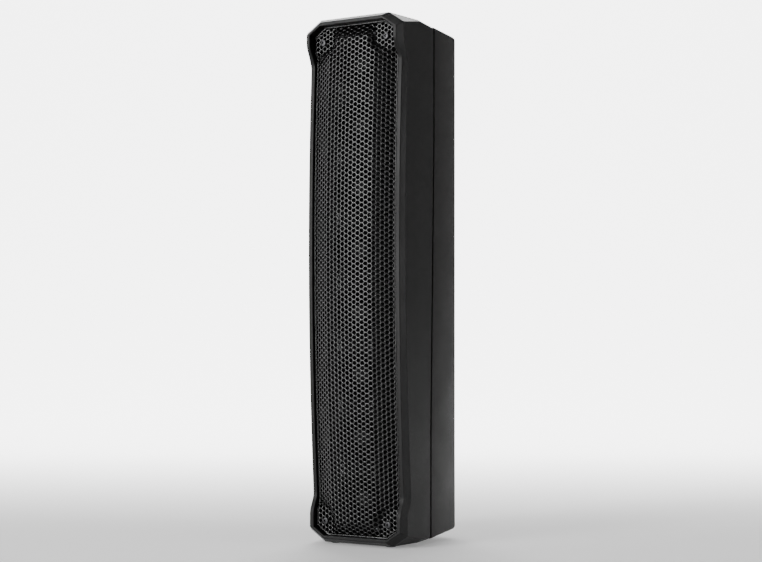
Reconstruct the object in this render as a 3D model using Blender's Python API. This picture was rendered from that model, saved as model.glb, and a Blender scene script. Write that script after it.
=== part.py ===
"""Column loudspeaker: eight small drivers behind a perforated grille, in a cabinet of two moulded shells.

Metres, +Z up, and the front faces -Y. The origin is on the floor, under the middle of the cabinet.
Depths that run back from the front are counted from the plane of the top end block.
"""

import math

import bmesh
import bpy
from mathutils import Matrix, Vector

# Fits
GAP = 0.0003  # between pieces that touch
CUTTER_REACH = 0.01  # how far a cutter stands out of what it cuts

# Cabinet
DRIVERS = 8
DRIVER_PITCH = 0.075
MARGIN_TOP = 0.01595  # from the last driver's cell to the end of the cabinet
MARGIN_BOTTOM = 0.01415
FOOT_CLEARANCE = 0.0015  # lowest edge of the cabinet above the floor
SEAM_HALF = 0.069  # half width at the seam, the widest place
SHOULDER_TAPER = 0.002  # the half width that the front shell loses towards its shoulder
BACK_TAPER = 0.003  # the half width that the rear shell loses towards its back
FRONT_DROP_TOP = 0.0069  # the end faces close in by this from the shoulder to the seam
FRONT_DROP_BOTTOM = 0.0045
BACK_DROP_TOP = 0.0010  # and by this from the seam to the back
BACK_DROP_BOTTOM = 0.0040
DEPTH = 0.156  # from the grille's crown to the back
CROWN_LEAD = 0.006  # the grille's crown stands this far ahead of the top end block
WALL = 0.003
BACK_FILLET = 0.010
FILLET_STEPS = 3
BACK_CORNER = 0.15  # share of the fillet that its corners are cut by

# Front rim
RIM_WIDTH_SIDE = 0.0093  # from the shoulder to the inner edge
RIM_WIDTH_END = 0.0090
CHAMFER_RUN = 0.0040  # the sloping outer band, seen from the front
BLOCK_CHAMFER_RUN = 0.0050
CHAMFER_DEPTH_TOP = 0.0060
CHAMFER_DEPTH_BOTTOM = 0.0105
BLOCK_CHAMFER_DEPTH = 0.0098
CORNER_WIDTH = 0.020
CORNER_HEIGHT = 0.0135
INNER_CORNER = 0.72  # of the corner's cut, left at the inner edge of the rim
CORNER_AT_SEAM = 0.0030
CORNER_MID_TOP = 0.0035
CORNER_MID_BOTTOM = 0.0040
FLANK_MID = 0.048  # depth of the loop where the corner facets have run out
FLANK_SHARE = 0.6  # how far the flank has got there towards its size at the seam
ARC_RADIUS = 3.9  # the long shallow bow of the front
ARC_APEX_RISE = 0.0355  # its most forward place, above the middle of the row of drivers
ARC_SETBACK = 0.0063
ARC_STEPS = 8
TOP_BLOCK = 0.0331
TOP_SLOPE = 0.0205
BOTTOM_BLOCK = 0.0385
BOTTOM_SLOPE = 0.0170
BOTTOM_BLOCK_SETBACK = 0.0090

# Seam
SEAM_DEPTH_TOP = 0.0814
SEAM_DEPTH_BOTTOM = 0.0734
SEAM_KNEE_TOP = 0.1403  # below the top of the cabinet
SEAM_KNEE_BOTTOM = 0.1310  # above its bottom
SEAM_GROOVE = 0.0034
GASKET_RECESS = 0.0018
GASKET_WIDTH = 0.0040

# Baffle, moulded in one with the front shell
BAFFLE_SETBACK = 0.0068  # behind the bow of the front
BAFFLE_THICKNESS = 0.0040
INNER_SIDE_GAP = 0.0005  # the inner wall's thickening at the baffle, beside it
INNER_END_GAP = 0.0020  # and at its ends
BACK_WALL_GROWTH = 0.001  # the rear shell's wall thickens by this towards the back

# Drivers
FRAME_GAP = 0.001  # between neighbouring frames
FRAME_WIDTH = 0.068
FRAME_CORNER = 0.010
FRAME_LIP = 0.0020  # of the flange, on the baffle beside the basket
FLANGE_THICKNESS = 0.0025
BASKET_DEPTH = 0.024
MOTOR_LENGTH = 0.015
FRAME_STEP = 0.0025  # from the basket's radius in to the opening
FRAME_STEP_DEPTH = 0.0020
BASKET_FOOT = 0.6  # radius of the basket's foot, as a share of its mouth
BASKET_WALL = 0.0018
MAGNET_INSET = 0.001  # inside the basket's foot
MAGNET_FLOOR = 0.004
POLE_LEAD = 0.008  # of the pole piece, ahead of the magnet
SPOKES = 16  # sides of the round driver pieces
CONE_TRAVEL = 0.0025
CONE_THICKNESS = 0.0008
CONE_RIM_DEPTH = 0.0046  # behind the front of the flange
CONE_NECK_DEPTH = 0.0125
CAP_OVERLAP = 0.0012  # of the dust cap, over the cone's neck
CAP_HEIGHT = 0.0030
CAP_SHOULDER = 0.0019
CAP_SHOULDER_SHARE = 0.6
CAP_INSIDE = 0.0022
SURROUND_SHEET = 0.0007
SURROUND_DEPTH = 0.0014  # of its outer edge
SURROUND_ROLL = 0.0005
SURROUND_WIDTH = 0.0046
COIL_RADIUS = 0.0096
COIL_THICKNESS = 0.0007
MOTOR_CLEARANCE = 0.0010

# Shell screws, in wells through the baffle between the drivers
WELL_X = 0.0435
WELL_RADIUS = 0.0045
POST_WALL = 0.0020
SHELL_SCREW_JUNCTIONS = (1, 4, 7)
SCREW_SIDES = 10
SHELL_SCREW_RADIUS = 0.0019
SHELL_SCREW_HEAD = 0.0036
SHELL_SCREW_HEAD_HEIGHT = 0.0028
SCREW_BITE = 0.012
WELL_FLOOR = 0.004

# Grille
GRILLE_SHEET = 0.0012
GRILLE_EDGE_GAP = 0.0007
GRILLE_FOLD = 0.032  # half width of the middle panel
GRILLE_PROUD = 0.0123  # crown ahead of the bow
GRILLE_CROWN = 0.0020
GRILLE_EDGE_SETBACK = 0.00244  # its side edges, behind the bow
GRILLE_BORDER = 0.0160
GRILLE_FLANGE = 0.0035
PAD_DEPTH = 0.0105  # behind the end block
PAD_LEAD_BOTTOM = 0.0038  # the bottom pads are this much less deep in their block
PAD_INNER = 0.0265  # from the side edge of the grille to the inner edge of the pad
PAD_HEIGHT_TOP = 0.0288
PAD_HEIGHT_BOTTOM = 0.031
PAD_ROUND = 0.010
PAD_SLOPE = 0.006
GRILLE_SCREW_X_INSET = 0.0135
GRILLE_SCREW_TOP = 0.0280  # below the top of the cabinet
GRILLE_SCREW_BOTTOM = 0.0261
GRILLE_SCREW_RADIUS = 0.0020
GRILLE_SCREW_HEAD = 0.0040
GRILLE_SCREW_HEAD_HEIGHT = 0.0026
SOCKET_RADIUS = 0.0016
SOCKET_DEPTH = 0.0014
HEAD_CHAMFER_SHARE = 0.7  # height of the straight side of a screw's head
HEAD_FACE_SHARE = 0.8  # radius of its top face

# Connector plate in the back
PLATE_WIDTH = 0.052
PLATE_HEIGHT = 0.084
PLATE_THICKNESS = 0.003
PLATE_RECESS = 0.007
PLATE_Z = 0.085
RECESS_WALL = 0.004
CONNECTOR_SPACING = 0.038
CONNECTOR_FLANGE = (0.026, 0.031)
CONNECTOR_FLANGE_THICKNESS = 0.0025
CONNECTOR_RADIUS = 0.012
CONNECTOR_BORE = 0.0098
CONNECTOR_LENGTH = 0.022
CONNECTOR_BORE_DEPTH = 0.014

# Pole socket under the rear shell
POLE_DEPTH = 0.100  # of its axis, behind the top end block
POLE_BORE = 0.0100
POLE_WALL = 0.003
POLE_FLANGE = 0.017
POLE_FLANGE_THICKNESS = 0.0025
POLE_FLANGE_Z = 0.0035
POLE_LENGTH = 0.040
ROUND_SIDES = 16

# Feet
FOOT_RADIUS = 0.0065
FOOT_X = 0.038
FOOT_FRONT_DEPTH = 0.030
FOOT_BACK_DEPTH = 0.122

# Inside
WADDING_WIDTH = 0.066
WADDING_THICKNESS = 0.025
WADDING_OFF_BACK = 0.006
WADDING_BOTTOM = 0.155
WADDING_TOP = 0.600
BOARD = (0.056, 0.0016, 0.070)
BOARD_OFF_PLATE = 0.034
BOARD_Z = 0.085
FILTER_COIL_RADIUS = 0.013
FILTER_COIL_BORE = 0.005
FILTER_COIL_LENGTH = 0.012
CAPACITOR_RADIUS = 0.006
CAPACITOR_LENGTH = 0.026
LOOM_RADIUS = 0.002
LOOM_DEPTH = 0.072
LOOM_X = 0.026
COIL_MARGIN = 0.003  # from the edge of the board
CAPACITOR_MARGIN = 0.004
LOOM_SIDES = 8

# Colours
RUBBER = (0.010, 0.010, 0.010, 1)
PAINT = (0.012, 0.012, 0.012, 1)
PAPER = (0.015, 0.015, 0.015, 1)
SOCKET_BLUE = (0.015, 0.015, 0.020, 1)
DARK_METAL = (0.020, 0.020, 0.020, 1)
STEEL = (0.030, 0.030, 0.030, 1)
MAGNET_GREY = (0.25, 0.25, 0.26, 1)
FIBRE = (0.60, 0.60, 0.58, 1)
LAMINATE = (0.02, 0.10, 0.04, 1)
COPPER = (0.50, 0.20, 0.08, 1)
CASE = (0.030, 0.030, 0.050, 1)

# Worked out from the values above
CABINET_HEIGHT = DRIVERS * DRIVER_PITCH + MARGIN_TOP + MARGIN_BOTTOM
BOTTOM_Z = FOOT_CLEARANCE
TOP_Z = BOTTOM_Z + CABINET_HEIGHT
MID_Z = BOTTOM_Z + MARGIN_BOTTOM + DRIVERS * DRIVER_PITCH / 2  # the middle of the row of drivers
ARC_APEX_Z = MID_Z + ARC_APEX_RISE
BACK_Y = DEPTH / 2
BLOCK_Y = -DEPTH / 2 + CROWN_LEAD
SHOULDER_HALF = SEAM_HALF - SHOULDER_TAPER
BACK_HALF = SEAM_HALF - BACK_TAPER
SEAM_LOW = BOTTOM_Z + FRONT_DROP_BOTTOM
SEAM_HIGH = TOP_Z - FRONT_DROP_TOP
OPENING_HALF = SHOULDER_HALF - RIM_WIDTH_SIDE
OPENING_TOP = TOP_Z - RIM_WIDTH_END
OPENING_BOTTOM = BOTTOM_Z + RIM_WIDTH_END
FRAME_HEIGHT = DRIVER_PITCH - FRAME_GAP
BASKET_RADIUS = FRAME_WIDTH / 2 - FRAME_LIP
OPEN_RADIUS = BASKET_RADIUS - FRAME_STEP  # inside edge of the frame's flange
SURROUND_OUTER = OPEN_RADIUS - GAP
SURROUND_INNER = SURROUND_OUTER - SURROUND_WIDTH
CONE_RADIUS = SURROUND_INNER - GAP
FLANGE_LEAD = FLANGE_THICKNESS + GAP  # front of a driver's flange ahead of the baffle
GRILLE_HALF = OPENING_HALF - GRILLE_EDGE_GAP
GRILLE_SIDE_SLOPE = (GRILLE_PROUD + GRILLE_EDGE_SETBACK - GRILLE_CROWN) / (GRILLE_HALF - GRILLE_FOLD)
GRILLE_TOP = OPENING_TOP - GRILLE_EDGE_GAP
GRILLE_BOTTOM = OPENING_BOTTOM + GRILLE_EDGE_GAP
RIM_CORNER = (CORNER_WIDTH * INNER_CORNER, CORNER_HEIGHT * INNER_CORNER)
GRILLE_CORNER = (RIM_CORNER[0] + GRILLE_EDGE_GAP / 2, RIM_CORNER[1] + GRILLE_EDGE_GAP / 2)
GRILLE_SCREW_X = GRILLE_HALF - GRILLE_SCREW_X_INSET
PAD_X = GRILLE_HALF - PAD_INNER
SHELL_COLOUR = (0.020, 0.020, 0.021, 1)


def depth(behind_block):
    """World Y of a place this far behind the plane of the top end block."""
    return BLOCK_Y + behind_block


def mix(low, high, share):
    return low + (high - low) * share


def share(value, low, high):
    return min(1, max(0, (value - low) / (high - low)))


# The bow, the rim and the seam, seen from the side


def arc_y(z):
    """The bow of the front."""
    return depth(ARC_SETBACK) + (z - ARC_APEX_Z) ** 2 / (2 * ARC_RADIUS)


def arc_tilt(z):
    """How far the bow leans there: a piece set on it turns about X by this."""
    return -math.atan((z - ARC_APEX_Z) / ARC_RADIUS)


TOP_NECK = TOP_Z - TOP_BLOCK - TOP_SLOPE
TOP_STEP = TOP_Z - TOP_BLOCK
BOTTOM_NECK = BOTTOM_Z + BOTTOM_BLOCK + BOTTOM_SLOPE
BOTTOM_STEP = BOTTOM_Z + BOTTOM_BLOCK


def rim_y(z):
    """The front of the rim: the bow between the necks, and a flat block at each end."""
    if z > TOP_NECK:
        return mix(arc_y(TOP_NECK), depth(0), share(z, TOP_NECK, TOP_STEP))
    if z < BOTTOM_NECK:
        block = depth(BOTTOM_BLOCK_SETBACK)
        return mix(block, arc_y(BOTTOM_NECK), share(z, BOTTOM_STEP, BOTTOM_NECK))
    return arc_y(z)


def chamfer_depth(z):
    """How deep the sloping outer band of the rim is."""
    if z > TOP_NECK:
        return mix(CHAMFER_DEPTH_TOP, BLOCK_CHAMFER_DEPTH, share(z, TOP_NECK, TOP_STEP))
    if z < BOTTOM_NECK:
        return mix(BLOCK_CHAMFER_DEPTH, CHAMFER_DEPTH_BOTTOM, share(z, BOTTOM_STEP, BOTTOM_NECK))
    return mix(CHAMFER_DEPTH_BOTTOM, CHAMFER_DEPTH_TOP, share(z, BOTTOM_NECK, TOP_NECK))


def chamfer_run(z):
    toward_top = share(z, TOP_NECK, TOP_STEP)
    return mix(CHAMFER_RUN, BLOCK_CHAMFER_RUN, toward_top)


def seam_y(z):
    knees = share(z, BOTTOM_Z + SEAM_KNEE_BOTTOM, TOP_Z - SEAM_KNEE_TOP)
    return depth(mix(SEAM_DEPTH_BOTTOM, SEAM_DEPTH_TOP, knees))


def bottom_wall_z(y):
    """The underside of the cabinet, which climbs towards the back."""
    seam = depth(SEAM_DEPTH_BOTTOM)
    shoulder = depth(BOTTOM_BLOCK_SETBACK + BLOCK_CHAMFER_DEPTH)
    if y < seam:
        return mix(BOTTOM_Z, SEAM_LOW, share(y, shoulder, seam))
    return mix(SEAM_LOW, SEAM_LOW + BACK_DROP_BOTTOM, share(y, seam, BACK_Y - BACK_FILLET))


# Mesh helpers


def finish(name, mesh_or_bm, colour, roughness=0.5, metallic=0.0, smooth=True):
    """Makes the named object with its own material, and shades it smooth up to 35 degrees."""
    mesh = bpy.data.meshes.new(name)
    mesh_or_bm.to_mesh(mesh)
    mesh_or_bm.free()
    obj = bpy.data.objects.new(name, mesh)
    bpy.context.scene.collection.objects.link(obj)
    material = bpy.data.materials.new(name)
    material.use_nodes = True
    surface = material.node_tree.nodes["Principled BSDF"]
    surface.inputs["Base Color"].default_value = colour
    surface.inputs["Roughness"].default_value = roughness
    surface.inputs["Metallic"].default_value = metallic
    mesh.materials.append(material)
    if smooth:
        mesh.shade_smooth()
        mesh.set_sharp_from_angle(angle=math.radians(35))
    return obj


def loft(loops, closed=False):
    """A solid through loops of the same number of points: a ring if closed, or else with both ends capped."""
    bm = bmesh.new()
    rings = [[bm.verts.new(point) for point in loop] for loop in loops]
    count = len(loops[0])
    pairs = list(zip(rings, rings[1:]))
    if closed:
        pairs.append((rings[-1], rings[0]))
    for ring, following in pairs:
        for i in range(count):
            j = (i + 1) % count
            bm.faces.new((ring[i], ring[j], following[j], following[i]))
    if not closed:
        for ring in (rings[0], rings[-1]):
            cap_in_strips(bm, ring)
    bmesh.ops.recalc_face_normals(bm, faces=bm.faces)
    return bm


def cap_in_strips(bm, ring):
    """Caps a loop that has as many points down its left side as up its right side, one strip at a time."""
    half = len(ring) // 2
    for i in range(half - 1):
        bm.faces.new((ring[i], ring[i + 1], ring[-2 - i], ring[-1 - i]))


def turned(profile, sides):
    """A solid turned about the Y axis from a closed profile of (radius, y) points."""
    bm = bmesh.new()
    verts = [bm.verts.new((radius, y, 0)) for radius, y in profile]
    edges = [bm.edges.new((verts[i - 1], verts[i])) for i in range(len(verts))]
    bmesh.ops.spin(
        bm, geom=verts + edges, cent=(0, 0, 0), axis=(0, 1, 0), steps=sides, angle=2 * math.pi, use_merge=True
    )
    bmesh.ops.remove_doubles(bm, verts=bm.verts, dist=1e-6)
    bmesh.ops.dissolve_degenerate(bm, dist=1e-7, edges=bm.edges)
    bmesh.ops.recalc_face_normals(bm, faces=bm.faces)
    return bm


def box(size, centre):
    bm = bmesh.new()
    bmesh.ops.create_cube(bm, size=1)
    bmesh.ops.scale(bm, vec=size, verts=bm.verts)
    bmesh.ops.translate(bm, vec=centre, verts=bm.verts)
    return bm


def rod(radius, start, end, sides):
    """A round bar along Y, between two depths, about (x, z)."""
    bm = bmesh.new()
    length = end[1] - start[1]
    bmesh.ops.create_cone(
        bm, cap_ends=True, segments=sides, radius1=radius, radius2=radius, depth=length,
        matrix=Matrix.Rotation(math.pi / 2, 4, "X") @ Matrix.Rotation(math.pi / 2, 4, "Z"),
    )
    bmesh.ops.translate(bm, vec=(Vector(start) + Vector(end)) / 2, verts=bm.verts)
    return bm


def tool(name, pieces):
    """One hidden cutter or addition, of several meshes that don't touch."""
    bm = bmesh.new()
    for piece in pieces:
        mesh = bpy.data.meshes.new(name)
        piece.to_mesh(mesh)
        piece.free()
        bm.from_mesh(mesh)
        bpy.data.meshes.remove(mesh)
    bmesh.ops.recalc_face_normals(bm, faces=bm.faces)
    obj = finish(name, bm, (1, 0, 0, 1), smooth=False)
    obj.hide_render = True
    obj.display_type = "WIRE"
    return obj


def combine(obj, operation, other):
    modifier = obj.modifiers.new(other.name, "BOOLEAN")
    modifier.operation = operation
    modifier.solver = "EXACT"
    modifier.object = other


# Outlines of the cabinet, as loops that run up its right side and down its left


def arc_stations():
    """Heights where the side outlines have a point, from the bottom up."""
    arc = [mix(BOTTOM_NECK, TOP_NECK, i / ARC_STEPS) for i in range(ARC_STEPS + 1)]
    return [BOTTOM_STEP] + arc + [TOP_STEP]


def outline(half, bottom, top, low_corner, high_corner, heights, place_y):
    """A loop with chamfered corners. half and place_y give the half width and the depth at each height."""
    right = [(half(bottom) - low_corner[0], bottom), (half(bottom), bottom + low_corner[1])]
    right += [(half(z), z) for z in heights]
    right += [(half(top), top - high_corner[1]), (half(top) - high_corner[0], top)]
    left = [(-x, z) for x, z in reversed(right)]
    return [(x, place_y(z), z) for x, z in right + left]


def front_loops():
    """From the baffle's front, over the rim and along the flank to the seam, and inside to the baffle's rear."""
    heights = arc_stations()
    corner = (CORNER_WIDTH, CORNER_HEIGHT)
    seam_corner = (CORNER_AT_SEAM, CORNER_AT_SEAM)
    low_mid = (CORNER_MID_BOTTOM, CORNER_MID_BOTTOM)
    high_mid = (CORNER_MID_TOP, CORNER_MID_TOP * CORNER_HEIGHT / CORNER_WIDTH)
    mid_low = mix(BOTTOM_Z, SEAM_LOW, FLANK_SHARE)
    mid_high = mix(TOP_Z, SEAM_HIGH, FLANK_SHARE)

    def opening(z):
        return OPENING_HALF

    def baffle_front(z):
        return arc_y(z) + BAFFLE_SETBACK

    def baffle_rear(z):
        return arc_y(z) + BAFFLE_SETBACK + BAFFLE_THICKNESS

    def rim_outer(z):
        return SHOULDER_HALF - chamfer_run(z)

    def seam_front(z):
        return seam_y(z) - SEAM_GROOVE / 2

    inner_low, inner_high = OPENING_BOTTOM, OPENING_TOP
    run = BLOCK_CHAMFER_RUN
    wall_half = SHOULDER_HALF - WALL - INNER_SIDE_GAP
    return [
        outline(opening, inner_low, inner_high, RIM_CORNER, RIM_CORNER, heights, baffle_front),
        outline(opening, inner_low, inner_high, RIM_CORNER, RIM_CORNER, heights, rim_y),
        outline(rim_outer, BOTTOM_Z + run, TOP_Z - run, corner, corner, heights, rim_y),
        outline(lambda z: SHOULDER_HALF, BOTTOM_Z, TOP_Z, corner, corner, heights,
                lambda z: rim_y(z) + chamfer_depth(z)),
        outline(lambda z: mix(SHOULDER_HALF, SEAM_HALF, FLANK_SHARE), mid_low, mid_high, low_mid, high_mid,
                heights, lambda z: depth(FLANK_MID)),
        outline(lambda z: SEAM_HALF, SEAM_LOW, SEAM_HIGH, seam_corner, seam_corner, heights, seam_front),
        outline(lambda z: SEAM_HALF - WALL, SEAM_LOW + WALL, SEAM_HIGH - WALL, seam_corner, seam_corner,
                heights, seam_front),
        outline(lambda z: wall_half, BOTTOM_Z + WALL + INNER_END_GAP, TOP_Z - WALL - INNER_END_GAP, corner,
                corner, heights, baffle_rear),
    ]


def junction_z(index):
    """Height between driver index - 1 and driver index, counted from the bottom."""
    return MID_Z + (index - DRIVERS / 2) * DRIVER_PITCH


def driver_z(index):
    return MID_Z + (index - (DRIVERS - 1) / 2) * DRIVER_PITCH


def driver_matrix(index):
    """Puts a driver's own frame, whose Y = 0 is the front of its flange, onto the bow."""
    z = driver_z(index)
    y = arc_y(z) + BAFFLE_SETBACK - FLANGE_LEAD
    return Matrix.Translation((0, y, z)) @ Matrix.Rotation(arc_tilt(z), 4, "X")


def seam_gap_y():
    """Where the front shell's tubes and the rear shell's posts meet: clear of the slanting seam on both sides."""
    return depth(SEAM_DEPTH_BOTTOM)


def well_places(junctions):
    return [(side * WELL_X, junction_z(j)) for j in junctions for side in (-1, 1)]


def pad_y(z):
    return depth(PAD_DEPTH) if z > MID_Z else depth(BOTTOM_BLOCK_SETBACK + PAD_DEPTH - PAD_LEAD_BOTTOM)


def grille_screw_places():
    """(x, z, depth of the pad) of the grille's four corner screws."""
    return [
        (side * GRILLE_SCREW_X, z, pad_y(z))
        for z in (TOP_Z - GRILLE_SCREW_TOP, BOTTOM_Z + GRILLE_SCREW_BOTTOM)
        for side in (-1, 1)
    ]


def make_front_shell():
    shell = finish("front_shell", loft(front_loops()), SHELL_COLOUR, 0.5)
    meet = seam_gap_y()
    tubes, holes, wells = [], [], []
    for x, z in well_places(range(1, DRIVERS)):
        start = arc_y(z) + BAFFLE_SETBACK
        screwed = any(abs(z - junction_z(j)) < GAP for j in SHELL_SCREW_JUNCTIONS)
        if screwed:
            tubes.append(rod(WELL_RADIUS + POST_WALL, (x, start + BAFFLE_THICKNESS / 2, z),
                             (x, meet - GAP, z), SCREW_SIDES))
            wells.append(rod(WELL_RADIUS, (x, start - CUTTER_REACH, z), (x, meet - WELL_FLOOR, z), SCREW_SIDES))
            holes.append(rod(SHELL_SCREW_RADIUS + GAP, (x, meet - 3 * WELL_FLOOR / 2, z),
                             (x, meet + CUTTER_REACH, z), SCREW_SIDES))
        else:
            wells.append(rod(WELL_RADIUS, (x, start - CUTTER_REACH, z), (x, start + 2 * CUTTER_REACH, z),
                             SCREW_SIDES))
    for x, z, pad in grille_screw_places():
        start = pad + GRILLE_SHEET + GAP
        back = arc_y(z) + BAFFLE_SETBACK
        tubes.append(rod(GRILLE_SCREW_HEAD, (x, start, z), (x, back + BAFFLE_THICKNESS / 2, z),
                         SCREW_SIDES))
        holes.append(rod(GRILLE_SCREW_RADIUS + GAP, (x, start - CUTTER_REACH, z),
                         (x, back + 2 * BAFFLE_THICKNESS, z), SCREW_SIDES))
    for i in range(DRIVERS):
        opening = rod(BASKET_RADIUS + GAP, (0, -5 * CUTTER_REACH, 0), (0, 5 * CUTTER_REACH, 0), SPOKES)
        bmesh.ops.transform(opening, matrix=driver_matrix(i), verts=opening.verts)
        wells.append(opening)
    combine(shell, "UNION", tool("cut_front_tubes", tubes))
    combine(shell, "DIFFERENCE", tool("cut_front_wells", wells))
    combine(shell, "DIFFERENCE", tool("cut_front_holes", holes))


def back_loops():
    """From the back face, round its fillet and forward to the seam, and inside to the back wall."""
    heights = [BOTTOM_Z + SEAM_KNEE_BOTTOM, TOP_Z - SEAM_KNEE_TOP]
    corner = (CORNER_AT_SEAM, CORNER_AT_SEAM)
    low, high = SEAM_LOW + BACK_DROP_BOTTOM, SEAM_HIGH - BACK_DROP_TOP

    def ring(inset, y, extra=0.0):
        grown = (CORNER_AT_SEAM + extra, CORNER_AT_SEAM + extra)
        return outline(lambda z: BACK_HALF - inset, low + inset, high - inset, grown, grown, heights,
                       lambda z: y)

    loops = []
    for step in range(FILLET_STEPS + 1):
        angle = math.pi / 2 * step / FILLET_STEPS
        inset = BACK_FILLET * (1 - math.sin(angle))
        y = BACK_Y - BACK_FILLET * (1 - math.cos(angle))
        loops.append(ring(inset, y, (BACK_FILLET - inset) * BACK_CORNER))
    loops.append(outline(lambda z: SEAM_HALF, SEAM_LOW, SEAM_HIGH, corner, corner, heights,
                         lambda z: seam_y(z) + SEAM_GROOVE / 2))
    loops.append(outline(lambda z: SEAM_HALF - WALL, SEAM_LOW + WALL, SEAM_HIGH - WALL, corner, corner,
                         heights, lambda z: seam_y(z) + SEAM_GROOVE / 2))
    loops.append(ring(WALL + BACK_WALL_GROWTH, BACK_Y - BACK_FILLET, BACK_FILLET * BACK_CORNER / 2))
    loops.append(ring(BACK_FILLET, BACK_Y - WALL, 0.0))
    return loops


def make_rear_shell():
    shell = finish("rear_shell", loft(back_loops()), SHELL_COLOUR, 0.45)
    meet = seam_gap_y()
    posts, holes = [], []
    for x, z in well_places(SHELL_SCREW_JUNCTIONS):
        posts.append(rod(WELL_RADIUS + POST_WALL, (x, meet, z), (x, BACK_Y - WALL / 2, z), SCREW_SIDES))
        holes.append(rod(SHELL_SCREW_RADIUS + GAP, (x, meet - CUTTER_REACH, z), (x, meet + SCREW_BITE + 2 * GAP, z),
                         SCREW_SIDES))
    depth_in = PLATE_RECESS + PLATE_THICKNESS
    surround = (PLATE_WIDTH + 2 * RECESS_WALL, depth_in, PLATE_HEIGHT + 2 * RECESS_WALL)
    posts.append(box(surround, (0, BACK_Y - depth_in / 2 - WALL / 2, PLATE_Z)))
    opening = (PLATE_WIDTH, 10 * CUTTER_REACH, PLATE_HEIGHT)
    holes.append(box(opening, (0, BACK_Y, PLATE_Z)))
    pole = rod(POLE_BORE + POLE_WALL + GAP, (0, -2 * CUTTER_REACH, 0), (0, 2 * CUTTER_REACH, 0),
               ROUND_SIDES)
    bmesh.ops.rotate(pole, matrix=Matrix.Rotation(math.pi / 2, 3, "X"), verts=pole.verts)
    bmesh.ops.translate(pole, vec=(0, depth(POLE_DEPTH), BOTTOM_Z), verts=pole.verts)
    holes.append(pole)
    combine(shell, "UNION", tool("add_rear_posts", posts))
    combine(shell, "DIFFERENCE", tool("cut_rear_holes", holes))


def make_gasket():
    heights = [BOTTOM_Z + SEAM_KNEE_BOTTOM, TOP_Z - SEAM_KNEE_TOP]
    corner = (CORNER_AT_SEAM, CORNER_AT_SEAM)
    reach = SEAM_GROOVE / 2 - GAP

    def ring(inset, side):
        return outline(lambda z: SEAM_HALF - inset, SEAM_LOW + inset, SEAM_HIGH - inset, corner, corner,
                       heights, lambda z: seam_y(z) + side * reach)

    outer, inner = GASKET_RECESS, GASKET_RECESS + GASKET_WIDTH
    loops = [ring(outer, -1), ring(outer, 1), ring(inner, 1), ring(inner, -1)]
    finish("seam_gasket", loft(loops, closed=True), RUBBER, 0.9)


# Grille


def pad_share(x, z):
    """1 on a corner pad, 0 on the formed panel, and between on the slope round the pad."""
    across = max(0, PAD_X + PAD_ROUND - abs(x))
    shares = []
    for above in (z - (GRILLE_TOP - PAD_HEIGHT_TOP), (GRILLE_BOTTOM + PAD_HEIGHT_BOTTOM) - z):
        along = max(0, PAD_ROUND - above)
        beyond = math.hypot(across, along) - PAD_ROUND
        shares.append(share(-beyond, -PAD_SLOPE, 0))
    return max(shares)


def grille_y(x, z):
    """The grille's outer face: a crowned middle panel, two sides that fall away, and bent-back ends."""
    across = abs(x)
    face = arc_y(z) - GRILLE_PROUD
    if across < GRILLE_FOLD:
        face += GRILLE_CROWN * (across / GRILLE_FOLD) ** 2
    else:
        face += GRILLE_CROWN + (across - GRILLE_FOLD) * GRILLE_SIDE_SLOPE
    end = max(share(z, GRILLE_TOP - GRILLE_BORDER, GRILLE_TOP),
              share(-z, -(GRILLE_BOTTOM + GRILLE_BORDER), -GRILLE_BOTTOM))
    face = mix(face, max(face, pad_y(z)), end)
    return mix(face, pad_y(z), pad_share(x, z))


def grille_lines():
    """Where the sheet's grid has its columns and rows: closer together about the folds and the pads."""
    side = [PAD_X - PAD_SLOPE, GRILLE_FOLD, PAD_X + PAD_ROUND / 2, GRILLE_SCREW_X, GRILLE_HALF]
    columns = sorted({0.0, GRILLE_FOLD / 2, *side})
    columns = [-x for x in reversed(columns[1:])] + columns
    top = GRILLE_TOP - PAD_HEIGHT_TOP
    bottom = GRILLE_BOTTOM + PAD_HEIGHT_BOTTOM
    rows = [GRILLE_BOTTOM, GRILLE_BOTTOM + GRILLE_BORDER, bottom - PAD_ROUND / 2, bottom + PAD_SLOPE]
    rows += [mix(bottom + PAD_SLOPE, top - PAD_SLOPE, i / ARC_STEPS) for i in range(1, ARC_STEPS)]
    rows += [top - PAD_SLOPE, top + PAD_ROUND / 2, GRILLE_TOP - GRILLE_BORDER, GRILLE_TOP]
    return columns, sorted(rows)


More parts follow.
